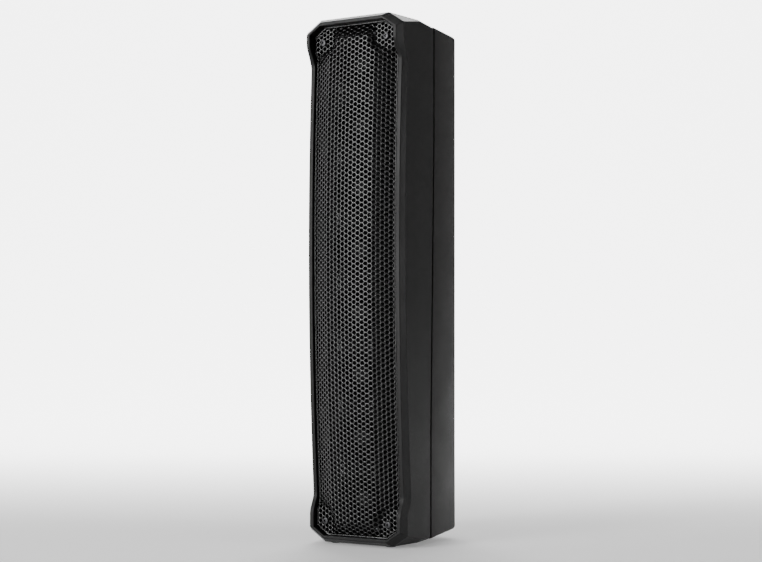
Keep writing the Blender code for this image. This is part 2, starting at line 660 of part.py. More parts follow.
def make_grille():
    columns, rows = grille_lines()
    bm = bmesh.new()
    grid = [[bm.verts.new((x, grille_y(x, z), z)) for x in columns] for z in rows]
    for low, high in zip(grid, grid[1:]):
        for i in range(len(columns) - 1):
            bm.faces.new((low[i], low[i + 1], high[i + 1], high[i]))
    for side in (-1, 1):
        for end, edge_z in ((-1, GRILLE_BOTTOM), (1, GRILLE_TOP)):
            across, up = GRILLE_CORNER
            bmesh.ops.bisect_plane(
                bm, geom=bm.verts[:] + bm.edges[:] + bm.faces[:], dist=1e-6, clear_outer=True,
                plane_co=(side * (GRILLE_HALF - across), 0, edge_z), plane_no=(side * up, 0, end * across),
            )
    border = [edge for edge in bm.edges if edge.is_boundary]
    made = bmesh.ops.extrude_edge_only(bm, edges=border)
    flange = [item for item in made["geom"] if isinstance(item, bmesh.types.BMVert)]
    bmesh.ops.translate(bm, vec=(0, GRILLE_FLANGE, 0), verts=flange)
    bmesh.ops.recalc_face_normals(bm, faces=bm.faces)
    if sum(face.normal.y for face in bm.faces) > 0:
        bmesh.ops.reverse_faces(bm, faces=bm.faces)
    grille = finish("grille", bm, PAINT, 0.45, 0.6)
    sheet = grille.modifiers.new("sheet", "SOLIDIFY")
    sheet.thickness = GRILLE_SHEET
    sheet.offset = -1
    sheet.use_even_offset = True
    holes = [
        rod(GRILLE_SCREW_RADIUS + GAP, (x, pad - CUTTER_REACH, z), (x, pad + CUTTER_REACH, z), SCREW_SIDES)
        for x, z, pad in grille_screw_places()
    ]
    combine(grille, "DIFFERENCE", tool("cut_grille_holes", holes))


# Screws


def make_screw(name, head_radius, head_height, shank_radius, length, place, colour):
    """A socket-head screw, its head's underside at place and its shank running back along +Y."""
    profile = [
        (0, length), (shank_radius, length), (shank_radius, 0), (head_radius, 0),
        (head_radius, -head_height * HEAD_CHAMFER_SHARE), (head_radius * HEAD_FACE_SHARE, -head_height),
        (SOCKET_RADIUS, -head_height), (SOCKET_RADIUS, -head_height + SOCKET_DEPTH),
        (0, -head_height + SOCKET_DEPTH),
    ]
    screw = finish(name, turned(profile, SCREW_SIDES), colour, 0.35, 0.9)
    screw.location = place
    return screw


def make_screws():
    for number, (x, z, pad) in enumerate(grille_screw_places(), 1):
        length = arc_y(z) + BAFFLE_SETBACK + BAFFLE_THICKNESS - pad
        make_screw(f"grille_screw_{number}", GRILLE_SCREW_HEAD, GRILLE_SCREW_HEAD_HEIGHT, GRILLE_SCREW_RADIUS,
                   length, (x, pad - GAP, z), STEEL)
    meet = seam_gap_y()
    for number, (x, z) in enumerate(well_places(SHELL_SCREW_JUNCTIONS), 1):
        make_screw(f"shell_screw_{number}", SHELL_SCREW_HEAD, SHELL_SCREW_HEAD_HEIGHT, SHELL_SCREW_RADIUS,
                   WELL_FLOOR + SCREW_BITE, (x, meet - WELL_FLOOR - GAP, z), STEEL)


# Drivers


def frame_outline(angle):
    """Radius of the flange's rounded rectangle in this direction."""
    half_x, half_z = FRAME_WIDTH / 2, FRAME_HEIGHT / 2
    across, up = abs(math.cos(angle)), abs(math.sin(angle))
    reach = min(half_x / max(across, 1e-9), half_z / max(up, 1e-9))
    cut = half_x + half_z - FRAME_CORNER
    return min(reach, cut / (across + up))


def circle(radius, y, sides=SPOKES):
    turns = [2 * math.pi * i / sides for i in range(sides)]
    return [(radius * math.cos(a), y, radius * math.sin(a)) for a in turns]


def flange_loop(y):
    turns = [2 * math.pi * i / SPOKES for i in range(SPOKES)]
    return [(frame_outline(a) * math.cos(a), y, frame_outline(a) * math.sin(a)) for a in turns]


def make_driver(index):
    number = DRIVERS - index
    place = driver_matrix(index)
    foot = BASKET_RADIUS * BASKET_FOOT
    coil_hole = COIL_RADIUS + COIL_THICKNESS + MOTOR_CLEARANCE
    wall = BASKET_WALL
    frame_loops = [
        circle(OPEN_RADIUS, 0), flange_loop(0), flange_loop(FLANGE_THICKNESS),
        circle(BASKET_RADIUS, FLANGE_THICKNESS), circle(foot, BASKET_DEPTH), circle(coil_hole, BASKET_DEPTH),
        circle(coil_hole, BASKET_DEPTH - wall), circle(foot - wall, BASKET_DEPTH - wall),
        circle(OPEN_RADIUS, FLANGE_THICKNESS + FRAME_STEP_DEPTH),
    ]
    frame = finish(f"driver_frame_{number}", loft(frame_loops, closed=True), DARK_METAL, 0.5, 0.4)

    magnet = foot - MAGNET_INSET
    front = BASKET_DEPTH + GAP
    pole = COIL_RADIUS - COIL_THICKNESS - MOTOR_CLEARANCE
    gap_floor = BASKET_DEPTH + MOTOR_LENGTH - MAGNET_FLOOR
    profile = [
        (0, front - POLE_LEAD), (pole, front - POLE_LEAD), (pole, gap_floor), (coil_hole, gap_floor),
        (coil_hole, front), (magnet, front), (magnet, front + MOTOR_LENGTH), (0, front + MOTOR_LENGTH),
    ]
    motor = finish(f"driver_magnet_{number}", turned(profile, SPOKES), MAGNET_GREY, 0.4, 0.9)

    coil_end = gap_floor - CONE_TRAVEL - MOTOR_CLEARANCE
    cap = COIL_RADIUS + CAP_OVERLAP
    cap_y = mix(CONE_NECK_DEPTH, CONE_RIM_DEPTH, (cap - COIL_RADIUS) / (CONE_RADIUS - COIL_RADIUS))
    profile = [
        (0, cap_y - CAP_HEIGHT), (cap * CAP_SHOULDER_SHARE, cap_y - CAP_SHOULDER),
        (cap, cap_y - CONE_THICKNESS), (CONE_RADIUS, CONE_RIM_DEPTH),
        (CONE_RADIUS, CONE_RIM_DEPTH + CONE_THICKNESS), (COIL_RADIUS, CONE_NECK_DEPTH + CONE_THICKNESS),
        (COIL_RADIUS, coil_end), (COIL_RADIUS - COIL_THICKNESS, coil_end),
        (COIL_RADIUS - COIL_THICKNESS, cap_y), (0, cap_y - CAP_INSIDE),
    ]
    cone = finish(f"driver_cone_{number}", turned(profile, SPOKES), PAPER, 0.8)

    middle = (SURROUND_INNER + SURROUND_OUTER) / 2
    sheet = SURROUND_SHEET
    outer_y = SURROUND_DEPTH
    profile = [
        (SURROUND_INNER, CONE_RIM_DEPTH + sheet), (SURROUND_INNER, CONE_RIM_DEPTH),
        (middle, outer_y - SURROUND_ROLL),
        (SURROUND_OUTER, outer_y), (SURROUND_OUTER, outer_y + sheet), (middle, outer_y + sheet),
    ]
    surround = finish(f"driver_surround_{number}", turned(profile, SPOKES), RUBBER, 0.7)
    for piece in (frame, motor, cone, surround):
        piece.matrix_world = place


# Back plate, pole socket, feet and what is inside


def make_connector_plate():
    y = BACK_Y - PLATE_RECESS - PLATE_THICKNESS / 2
    size = (PLATE_WIDTH - 2 * GAP, PLATE_THICKNESS, PLATE_HEIGHT - 2 * GAP)
    plate = finish("connector_plate", box(size, (0, y, PLATE_Z)), DARK_METAL, 0.5)
    holes = [
        rod(CONNECTOR_RADIUS + GAP, (0, y - CUTTER_REACH, z), (0, y + CUTTER_REACH, z), ROUND_SIDES)
        for z in connector_places()
    ]
    combine(plate, "DIFFERENCE", tool("cut_plate_holes", holes))


def connector_places():
    return [PLATE_Z + CONNECTOR_SPACING / 2, PLATE_Z - CONNECTOR_SPACING / 2]


def make_connectors():
    face = BACK_Y - PLATE_RECESS
    for name, z in zip(("speaker_socket_in", "speaker_socket_link"), connector_places()):
        width, height = CONNECTOR_FLANGE
        thick = CONNECTOR_FLANGE_THICKNESS
        flange = box((width, thick, height), (0, face + GAP + thick / 2, z))
        socket = finish(name, flange, SOCKET_BLUE, 0.4)
        body_end = face + thick - CONNECTOR_LENGTH
        body = rod(CONNECTOR_RADIUS, (0, body_end, z), (0, face + thick / 2, z), ROUND_SIDES)
        combine(socket, "UNION", tool(f"add_{name}", [body]))
        bore_end = face + thick - CONNECTOR_BORE_DEPTH
        bore = rod(CONNECTOR_BORE, (0, bore_end, z), (0, face + CUTTER_REACH, z), ROUND_SIDES)
        combine(socket, "DIFFERENCE", tool(f"cut_{name}", [bore]))


def make_pole_socket():
    """A cup open downwards, with a flange under the cabinet. It is turned about Y, then stood on its axis."""
    outer = POLE_BORE + POLE_WALL
    length = POLE_LENGTH
    profile = [
        (POLE_BORE, 0), (POLE_FLANGE, 0), (POLE_FLANGE, POLE_FLANGE_THICKNESS),
        (outer, POLE_FLANGE_THICKNESS), (outer, length), (0, length), (0, length - POLE_WALL),
        (POLE_BORE, length - POLE_WALL),
    ]
    cup = turned(profile, ROUND_SIDES)
    bmesh.ops.rotate(cup, matrix=Matrix.Rotation(math.pi / 2, 3, "X"), verts=cup.verts)
    socket = finish("pole_socket", cup, STEEL, 0.4, 0.8)
    socket.location = (0, depth(POLE_DEPTH), POLE_FLANGE_Z)


def make_feet():
    """Rubber discs, cut at the slope of the underside that each is stuck to."""
    number = 0
    for back in (FOOT_FRONT_DEPTH, FOOT_BACK_DEPTH):
        for side in (-1, 1):
            number += 1
            centre = Vector((side * FOOT_X, depth(back), 0))
            bm = bmesh.new()
            bmesh.ops.create_cone(bm, cap_ends=True, segments=ROUND_SIDES, radius1=FOOT_RADIUS,
                                  radius2=FOOT_RADIUS, depth=1)
            bmesh.ops.translate(bm, vec=centre, verts=bm.verts)
            for vert in bm.verts:
                vert.co.z = bottom_wall_z(vert.co.y) - GAP if vert.co.z > 0 else 0
            finish(f"foot_{number}", bm, RUBBER, 0.9)


def make_inside():
    y = BACK_Y - WALL - WADDING_OFF_BACK - WADDING_THICKNESS / 2
    size = (WADDING_WIDTH, WADDING_THICKNESS, WADDING_TOP - WADDING_BOTTOM)
    finish("damping_wadding", box(size, (0, y, (WADDING_TOP + WADDING_BOTTOM) / 2)), FIBRE, 1.0)
    board_y = BACK_Y - BOARD_OFF_PLATE
    finish("filter_board", box(BOARD, (0, board_y, BOARD_Z)), LAMINATE, 0.5)
    face = board_y - BOARD[1] / 2 - GAP
    profile = [
        (FILTER_COIL_BORE, 0), (FILTER_COIL_RADIUS, 0), (FILTER_COIL_RADIUS, -FILTER_COIL_LENGTH),
        (FILTER_COIL_BORE, -FILTER_COIL_LENGTH),
    ]
    coil = finish("filter_coil", turned(profile, ROUND_SIDES), COPPER, 0.35, 1.0)
    coil.location = (0, face, BOARD_Z + BOARD[2] / 2 - FILTER_COIL_RADIUS - COIL_MARGIN)
    capacitor = bmesh.new()
    bmesh.ops.create_cone(
        capacitor, cap_ends=True, segments=SCREW_SIDES, radius1=CAPACITOR_RADIUS, radius2=CAPACITOR_RADIUS,
        depth=CAPACITOR_LENGTH, matrix=Matrix.Rotation(math.pi / 2, 4, "Y"),
    )
    place = (0, face - CAPACITOR_RADIUS, BOARD_Z - BOARD[2] / 2 + CAPACITOR_RADIUS + CAPACITOR_MARGIN)
    bmesh.ops.translate(capacitor, vec=place, verts=capacitor.verts)
    finish("filter_capacitor", capacitor, CASE, 0.4)
    low, high = BOARD_Z - BOARD[2] / 2, driver_z(DRIVERS - 1)
    loom = bmesh.new()
    bmesh.ops.create_cone(loom, cap_ends=True, segments=LOOM_SIDES, radius1=LOOM_RADIUS, radius2=LOOM_RADIUS,
                          depth=high - low)
    bmesh.ops.translate(loom, vec=(LOOM_X, depth(LOOM_DEPTH), (high + low) / 2), verts=loom.verts)
    finish("wiring_loom", loom, DARK_METAL, 0.6)


def main():
    for obj in list(bpy.data.objects):
        bpy.data.objects.remove(obj)
    make_front_shell()
    make_rear_shell()
    make_gasket()
    make_grille()
    make_screws()
    for index in range(DRIVERS):
        make_driver(index)
    make_connector_plate()
    make_connectors()
    make_pole_socket()
    make_feet()
    make_inside()


main()
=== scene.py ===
"""Looks of the column loudspeaker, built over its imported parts.

Metres, +Z up, and the front faces -Y, as in the frame. Depths that run back are counted from
the top end block.
"""

import math

import bmesh
import bpy
from mathutils import Matrix, Vector, noise


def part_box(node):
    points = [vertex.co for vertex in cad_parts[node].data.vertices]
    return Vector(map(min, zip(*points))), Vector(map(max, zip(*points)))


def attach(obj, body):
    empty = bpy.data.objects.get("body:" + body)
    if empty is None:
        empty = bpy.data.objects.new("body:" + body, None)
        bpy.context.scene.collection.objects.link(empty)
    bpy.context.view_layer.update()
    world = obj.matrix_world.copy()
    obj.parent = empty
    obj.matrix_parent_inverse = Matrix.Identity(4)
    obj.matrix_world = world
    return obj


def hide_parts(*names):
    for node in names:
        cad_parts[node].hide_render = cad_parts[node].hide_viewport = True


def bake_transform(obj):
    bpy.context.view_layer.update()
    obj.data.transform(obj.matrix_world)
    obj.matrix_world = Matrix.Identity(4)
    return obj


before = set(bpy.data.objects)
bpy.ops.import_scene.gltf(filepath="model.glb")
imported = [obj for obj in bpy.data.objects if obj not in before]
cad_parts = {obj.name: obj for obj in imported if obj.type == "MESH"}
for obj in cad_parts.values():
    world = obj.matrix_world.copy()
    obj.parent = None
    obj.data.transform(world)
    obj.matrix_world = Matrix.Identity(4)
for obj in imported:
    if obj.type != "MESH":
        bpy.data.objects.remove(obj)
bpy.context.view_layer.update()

# Sizes that the frame's boxes give
front_low, front_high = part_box("front_shell")
rear_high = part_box("rear_shell")[1]
grille_low, grille_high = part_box("grille")
plate_low, plate_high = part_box("connector_plate")
BLOCK_Y = front_low.y
BOTTOM_Z, TOP_Z = front_low.z, front_high.z
SEAM_HALF = front_high.x
BACK_Y = rear_high.y
EDGE_SHADOW = 0.0011  # more gap beside the grille, where its edge is rolled back
GRILLE_HALF, GRILLE_BOTTOM, GRILLE_TOP = grille_high.x - EDGE_SHADOW, grille_low.z, grille_high.z

# Cabinet
DRIVERS = 8
DRIVER_PITCH = 0.075
MARGIN_BOTTOM = 0.01415
SHOULDER_HALF = SEAM_HALF - 0.002
BACK_HALF = SEAM_HALF - 0.003
SEAM_LOW, SEAM_HIGH = BOTTOM_Z + 0.0045, TOP_Z - 0.0069
BACK_LOW, BACK_HIGH = SEAM_LOW + 0.0040, SEAM_HIGH - 0.0010
WALL = 0.003
BACK_FILLET = 0.010
OPENING_HALF = SHOULDER_HALF - 0.0093
OPENING_BOTTOM, OPENING_TOP = BOTTOM_Z + 0.0090, TOP_Z - 0.0090
CORNER = (0.0200, 0.0135)
RIM_CORNER = (0.0144, 0.0097)
SEAM_CORNER = (0.0030, 0.0030)
LOW_MID_CORNER = (0.0040, 0.0040)
HIGH_MID_CORNER = (0.0035, 0.0024)
FLANK_MID = 0.048
FLANK_SHARE = 0.6
MID_Z = BOTTOM_Z + MARGIN_BOTTOM + DRIVERS * DRIVER_PITCH / 2
ARC_APEX_Z = MID_Z + 0.0355
ARC_RADIUS = 3.9
ARC_SETBACK = 0.0063
TOP_STEP, TOP_NECK = TOP_Z - 0.0331, TOP_Z - 0.0536
BOTTOM_STEP, BOTTOM_NECK = BOTTOM_Z + 0.0385, BOTTOM_Z + 0.0555
BOTTOM_BLOCK_SETBACK = 0.0090
SEAM_GROOVE = 0.0034
BAFFLE_SETBACK = 0.0068
BAFFLE_THICKNESS = 0.0040

# Grille
HOLE_PITCH = 0.0060
HOLE_RADIUS = 0.00240
HOLE_SIDES = 12
SHEET = 0.0012
HEM = 0.0008
GRILLE_FOLD = 0.032
GRILLE_PROUD = 0.0123
GRILLE_CROWN = 0.0020
GRILLE_EDGE_SETBACK = 0.00244
GRILLE_BORDER = 0.0160
PAD_DEPTH = 0.0105
PAD_LEAD_BOTTOM = 0.0038
PAD_X_HIGH, PAD_X_LOW = GRILLE_HALF - 0.0265, GRILLE_HALF - 0.0215
GRILLE_SIDE_SLOPE = (GRILLE_PROUD + GRILLE_EDGE_SETBACK - GRILLE_CROWN) / (
    GRILLE_HALF - GRILLE_FOLD
)

# Corners of the rear shell, seen from the back
BACK_CORNER = 0.0045
FILLET_CORNER = 0.0020  # inside the rounded back edge
REAR_SEAM_CORNER = 0.0032
REAR_INNER_CORNER = 0.0020

# Screws
GRILLE_SCREW_HEAD = 0.0040
GRILLE_SCREW_HEAD_HEIGHT = 0.0026
GRILLE_SCREW_SHANK = 0.0020
SHELL_SCREW_HEAD = 0.0036
SHELL_SCREW_HEAD_HEIGHT = 0.0028
SHELL_SCREW_SHANK = 0.0019
PLATE_SCREW_INSET = 0.0045
SOCKET_SCREW_HEAD = 0.0024
SOCKET_SCREW_X = 0.0096
SOCKET_SCREW_Z = 0.0121
POLE_SCREW_CIRCLE = 0.0145  # radius that the pole socket's screws stand on
BOARD_HOLE_INSET = 0.004
BOARD_HOLE_RADIUS = 0.0016

SHADE_ANGLE = math.radians(35)  # edges sharper than this are shaded as creases
SWEEP_START = 1.4  # where the studio's floor begins to rise
SWEEP_RADIUS = 1.6
PAD_LOW, PAD_HIGH = GRILLE_BOTTOM + 0.0310, GRILLE_TOP - 0.0288
PAD_ROUND = 0.010
PAD_SLOPE = 0.0075
GRILLE_CORNER = (0.01475, 0.01005)

# Drivers
FLANGE_LEAD = 0.0028
BASKET_RADIUS = 0.032
OPEN_RADIUS = 0.0295
SURROUND_OUTER = 0.0292
SURROUND_INNER = 0.0246
CONE_RADIUS = 0.0243
COIL_RADIUS = 0.0096
DRIVER_SCREWS = (0.0225, 0.0333)


def depth(behind_block):
    """World Y of a place this far behind the plane of the top end block."""
    return BLOCK_Y + behind_block


def mix(low, high, part):
    return low + (high - low) * part


def share(value, low, high):
    return min(1, max(0, (value - low) / (high - low)))


def smooth(part):
    return part * part * (3 - 2 * part)


def spread(low, high, count):
    """count + 1 even steps from low to high."""
    return [mix(low, high, i / count) for i in range(count + 1)]


def arc_y(z):
    return depth(ARC_SETBACK) + (z - ARC_APEX_Z) ** 2 / (2 * ARC_RADIUS)


def arc_tilt(z):
    return -math.atan((z - ARC_APEX_Z) / ARC_RADIUS)


def sharp_rim_y(z):
    if z > TOP_NECK:
        return mix(arc_y(TOP_NECK), depth(0), share(z, TOP_NECK, TOP_STEP))
    if z < BOTTOM_NECK:
        return mix(
            depth(BOTTOM_BLOCK_SETBACK), arc_y(BOTTOM_NECK), share(z, BOTTOM_STEP, BOTTOM_NECK)
        )
    return arc_y(z)


def rim_y(z, reach=0.0045, samples=9):
    """The front of the rim, with its necks and steps rounded."""
    total = sum(sharp_rim_y(z + reach * (2 * i / (samples - 1) - 1)) for i in range(samples))
    return total / samples


def chamfer_depth(z):
    if z > TOP_NECK:
        return mix(0.0060, 0.0098, smooth(share(z, TOP_NECK, TOP_STEP)))
    if z < BOTTOM_NECK:
        return mix(0.0098, 0.0105, smooth(share(z, BOTTOM_STEP, BOTTOM_NECK)))
    return mix(0.0105, 0.0060, share(z, BOTTOM_NECK, TOP_NECK))


def chamfer_run(z):
    return mix(0.0040, 0.0050, smooth(share(z, TOP_NECK, TOP_STEP)))


def seam_y(z):
    return depth(mix(0.0734, 0.0814, share(z, BOTTOM_Z + 0.1310, TOP_Z - 0.1403)))


# Mesh helpers


def piece(name, bm, material, replaced=(), body="cabinet", crease=30, weighted=False):
    """The named object, riding on its body and standing for the CAD nodes given."""
    mesh = bpy.data.meshes.new(name)
    bm.to_mesh(mesh)
    bm.free()
    obj = bpy.data.objects.new(name, mesh)
    bpy.context.scene.collection.objects.link(obj)
    mesh.materials.append(material)
    mesh.shade_smooth()
    mesh.set_sharp_from_angle(angle=math.radians(crease))
    if weighted:
        normals = obj.modifiers.new("normals", "WEIGHTED_NORMAL")
        normals.keep_sharp = True
    if body:
        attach(obj, body)
    if replaced:
        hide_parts(*replaced)
    return obj


def loft(loops, closed=False):
    bm = bmesh.new()
    rings = [[bm.verts.new(point) for point in loop] for loop in loops]
    count = len(loops[0])
    pairs = list(zip(rings, rings[1:]))
    if closed:
        pairs.append((rings[-1], rings[0]))
    for ring, following in pairs:
        for i in range(count):
            j = (i + 1) % count
            bm.faces.new((ring[i], ring[j], following[j], following[i]))
    if not closed:
        for ring in (rings[0], rings[-1]):
            half = count // 2
            for i in range(half - 1):
                bm.faces.new((ring[i], ring[i + 1], ring[-2 - i], ring[-1 - i]))
    bmesh.ops.recalc_face_normals(bm, faces=bm.faces)
    return bm


def turned(profile, sides):
    """A solid turned about the Y axis from a closed profile of (radius, y) points."""
    bm = bmesh.new()
    verts = [bm.verts.new((radius, y, 0)) for radius, y in profile]
    edges = [bm.edges.new((verts[i - 1], verts[i])) for i in range(len(verts))]
    bmesh.ops.spin(
        bm, geom=verts + edges, cent=(0, 0, 0), axis=(0, 1, 0), steps=sides, angle=2 * math.pi,
        use_merge=True
    )
    bmesh.ops.remove_doubles(bm, verts=bm.verts, dist=1e-6)
    bmesh.ops.dissolve_degenerate(bm, dist=1e-7, edges=bm.edges)
    bmesh.ops.recalc_face_normals(bm, faces=bm.faces)
    return bm


def box(size, centre):
    bm = bmesh.new()
    bmesh.ops.create_cube(bm, size=1)
    bmesh.ops.scale(bm, vec=size, verts=bm.verts)
    bmesh.ops.translate(bm, vec=centre, verts=bm.verts)
    return bm


def rod(radius, start, end, sides, far_radius=None):
    """A round bar between two points, narrowing to far_radius at its end."""
    bm = bmesh.new()
    line = Vector(end) - Vector(start)
    turn = Vector((0, 0, 1)).rotation_difference(line).to_matrix().to_4x4()
    bmesh.ops.create_cone(
        bm, cap_ends=True, segments=sides, radius1=radius,
        radius2=radius if far_radius is None else far_radius, depth=line.length,
        matrix=Matrix.Translation((Vector(start) + Vector(end)) / 2) @ turn,
    )
    return bm


def bevel(bm, width, angle=20, segments=3, keep=lambda edge: True):
    """Rounds every edge that is sharper than the angle."""
    sharp = math.radians(angle)
    edges = [edge for edge in bm.edges if edge.calc_face_angle(0) > sharp and keep(edge)]
    bmesh.ops.bevel(
        bm, geom=edges, offset=width, offset_type="OFFSET", segments=segments, profile=0.5,
        affect="EDGES",
        clamp_overlap=True, material=-1,
    )
    return bm


def joined(pieces):
    bm = bmesh.new()
    for part in pieces:
        mesh = bpy.data.meshes.new("part")
        part.to_mesh(mesh)
        part.free()
        bm.from_mesh(mesh)
        bpy.data.meshes.remove(mesh)
    return bm


def moved(bm, offset):
    bmesh.ops.translate(bm, vec=offset, verts=bm.verts)
    return bm


def cut(obj, operation, cutter_bm):
    """Applies a Boolean with this mesh, and keeps nothing of it."""
    mesh = bpy.data.meshes.new("cutter")
    cutter_bm.to_mesh(mesh)
    cutter_bm.free()
    cutter = bpy.data.objects.new("cutter", mesh)
    bpy.context.scene.collection.objects.link(cutter)
    modifier = obj.modifiers.new("cut", "BOOLEAN")
    modifier.operation = operation
    modifier.solver = "EXACT"
    modifier.object = cutter
    bpy.context.view_layer.update()
    made = bpy.data.meshes.new_from_object(obj.evaluated_get(bpy.context.evaluated_depsgraph_get()))
    obj.modifiers.remove(modifier)
    bpy.data.objects.remove(cutter)
    old = obj.data
    made.name = old.name
    obj.data = made
    bpy.data.meshes.remove(old)


# Materials


def graph(name):
    """A new material with its nodes, links and shader."""
    material = bpy.data.materials.new(name)
    material.use_nodes = True
    tree = material.node_tree
    return material, tree, tree.nodes["Principled BSDF"]


def node(tree, kind, **values):
    made = tree.nodes.new(kind)
    for key, value in values.items():
        if key in made.inputs:
            made.inputs[key].default_value = value
        else:
            setattr(made, key, value)
    return made


def grain_group():
    """Fine moulded texture: gives a height and a slow patchiness, both from object coordinates."""
    group = bpy.data.node_groups.new("moulded grain", "ShaderNodeTree")
    face = group.interface
    face.new_socket("Grain size", in_out="INPUT", socket_type="NodeSocketFloat")
    face.new_socket("Height", in_out="OUTPUT", socket_type="NodeSocketFloat")
    face.new_socket("Patch", in_out="OUTPUT", socket_type="NodeSocketFloat")
    given = group.nodes.new("NodeGroupInput")
    out = group.nodes.new("NodeGroupOutput")
    place = group.nodes.new("ShaderNodeTexCoord")
    per_metre = node(group, "ShaderNodeMath", operation="DIVIDE")
    per_metre.inputs[0].default_value = 1
    group.links.new(given.outputs["Grain size"], per_metre.inputs[1])
    fine = node(group, "ShaderNodeTexNoise", Detail=3.0, Roughness=0.6)
    cells = node(group, "ShaderNodeTexVoronoi", feature="SMOOTH_F1", Smoothness=0.6)
    patch = node(group, "ShaderNodeTexNoise", Scale=14.0, Detail=4.0, Roughness=0.62)
    for texture in (fine, cells, patch):
        group.links.new(place.outputs["Object"], texture.inputs["Vector"])
    for texture in (fine, cells):
        group.links.new(per_metre.outputs[0], texture.inputs["Scale"])
    both = node(group, "ShaderNodeMath", operation="MULTIPLY_ADD")
    both.inputs[1].default_value = 0.7
    group.links.new(cells.outputs["Distance"], both.inputs[0])
    group.links.new(fine.outputs["Fac"], both.inputs[2])
    group.links.new(both.outputs[0], out.inputs["Height"])
    group.links.new(patch.outputs["Fac"], out.inputs["Patch"])
    return group


GRAIN = grain_group()


def surface(name, colour, roughness, metallic=0.0, grain=0.0005, bump=0.0001, edge_colour=None,
            spread_rough=0.08, spread_colour=0.25, specular=0.5, coat=0.0):
    """A material with grain, patchy colour and roughness and, if given, a lighter colour on its convex edges."""
    material, tree, shader = graph(name)
    shader.inputs["Metallic"].default_value = metallic
    shader.inputs["Specular IOR Level"].default_value = specular
    shader.inputs["Coat Weight"].default_value = coat
    texture = node(tree, "ShaderNodeGroup")
    texture.node_tree = GRAIN
    texture.inputs["Grain size"].default_value = grain
    raised = node(tree, "ShaderNodeBump", Distance=bump, Strength=1.0)
    tree.links.new(texture.outputs["Height"], raised.inputs["Height"])
    tree.links.new(raised.outputs["Normal"], shader.inputs["Normal"])
    rough = node(tree, "ShaderNodeMapRange")
    rough.inputs["From Min"].default_value = 0.3
    rough.inputs["From Max"].default_value = 0.7
    rough.inputs["To Min"].default_value = roughness - spread_rough
    rough.inputs["To Max"].default_value = roughness + spread_rough
    tree.links.new(texture.outputs["Patch"], rough.inputs["Value"])
    tree.links.new(rough.outputs["Result"], shader.inputs["Roughness"])
    tint = node(tree, "ShaderNodeMix", data_type="RGBA", blend_type="MIX")
    low = [c * (1 - spread_colour) for c in colour]
    high = [c * (1 + spread_colour) for c in colour]
    tint.inputs[6].default_value = (*low, 1)
    tint.inputs[7].default_value = (*high, 1)
    tree.links.new(texture.outputs["Patch"], tint.inputs[0])
    # Convex edges, found by pointiness, take the given lighter edge colour.
    if edge_colour:
        geometry = node(tree, "ShaderNodeNewGeometry")
        edge = node(tree, "ShaderNodeMapRange")
        edge.inputs["From Min"].default_value = 0.53
        edge.inputs["From Max"].default_value = 0.62
        tree.links.new(geometry.outputs["Pointiness"], edge.inputs["Value"])
        edge_tint = node(tree, "ShaderNodeMix", data_type="RGBA", blend_type="MIX")
        edge_tint.inputs[7].default_value = (*edge_colour, 1)
        tree.links.new(edge.outputs["Result"], edge_tint.inputs[0])
        tree.links.new(tint.outputs[2], edge_tint.inputs[6])
        tree.links.new(edge_tint.outputs[2], shader.inputs["Base Color"])
    else:
        tree.links.new(tint.outputs[2], shader.inputs["Base Color"])
    return material


# The rear shell's plastic is about twice as light as the front shell's. This is partly their own different moulded
# finish, and partly painted light on the rear shell and painted shade on the front shell's sides.
front_plastic = surface("front shell plastic", (0.006, 0.006, 0.0061), 0.37, specular=0.22, grain=0.0007, bump=0.00012,
                        edge_colour=(0.016, 0.016, 0.0163))
rear_plastic = surface("rear shell plastic", (0.012, 0.0114, 0.0114), 0.43, specular=0.24, grain=0.0007, bump=0.00012,
                       edge_colour=(0.020, 0.019, 0.019))
# Near-black baffle: partly its own black plastic, partly painted shade of the cabinet's inside behind the grille.
baffle_plastic = surface(
    "baffle plastic", (0.0035, 0.0035, 0.0036), 0.7, specular=0.03, grain=0.0007, bump=0.00010
)
gasket_rubber = surface("gasket rubber", (0.006, 0.006, 0.006), 0.85, grain=0.0004, bump=0.00008)
powder_coat = surface("grille powder coat", (0.003, 0.003, 0.0031), 0.25, specular=0.75, grain=0.0003, bump=0.00001,
                      edge_colour=(0.005, 0.005, 0.0052), spread_rough=0.05)
black_steel = surface(
    "blackened steel", (0.045, 0.045, 0.047), 0.34, metallic=0.85, grain=0.0003, bump=0.00003
)
plated_steel = surface(
    "plated screws", (0.12, 0.12, 0.125), 0.36, metallic=1.0, grain=0.0003, bump=0.00002
)
# Driver frame colour: partly its own black paint, partly painted shade behind the grille.
frame_paint = surface(
    "driver frame paint", (0.0045, 0.0045, 0.0046), 0.6, specular=0.06, grain=0.0004, bump=0.00004
)
magnet_steel = surface(
    "magnet steel", (0.30, 0.30, 0.31), 0.38, metallic=1.0, grain=0.0006, bump=0.00004
)
# Cone colour: partly its own black paper, partly painted shade behind the grille.
cone_paper = surface(
    "cone paper", (0.0035, 0.0035, 0.0035), 0.92, specular=0.02, grain=0.0009, bump=0.00018,
    spread_colour=0.5
)
cap_paper = surface(
    "dust cap", (0.016, 0.016, 0.0163), 0.6, specular=0.1, grain=0.0007, bump=0.00010
)
# Surround colour: partly its own black rubber, partly painted shade behind the grille.
surround_rubber = surface(
    "surround rubber", (0.0025, 0.0025, 0.0025), 0.65, specular=0.04, grain=0.0005, bump=0.00004
)
foot_rubber = surface("foot rubber", (0.012, 0.012, 0.012), 0.85, grain=0.0005, bump=0.00010)
plate_plastic = surface(
    "connector plate plastic", (0.016, 0.016, 0.0165), 0.5, grain=0.0006, bump=0.00010
)
socket_plastic = surface("socket plastic", (0.012, 0.012, 0.016), 0.30, grain=0.0006, bump=0.00003)
contact_brass = surface(
    "contacts", (0.55, 0.40, 0.16), 0.3, metallic=1.0, grain=0.0003, bump=0.00002
)
socket_steel = surface(
    "pole cup paint", (0.028, 0.028, 0.029), 0.42, metallic=0.3, grain=0.0005, bump=0.00006
)


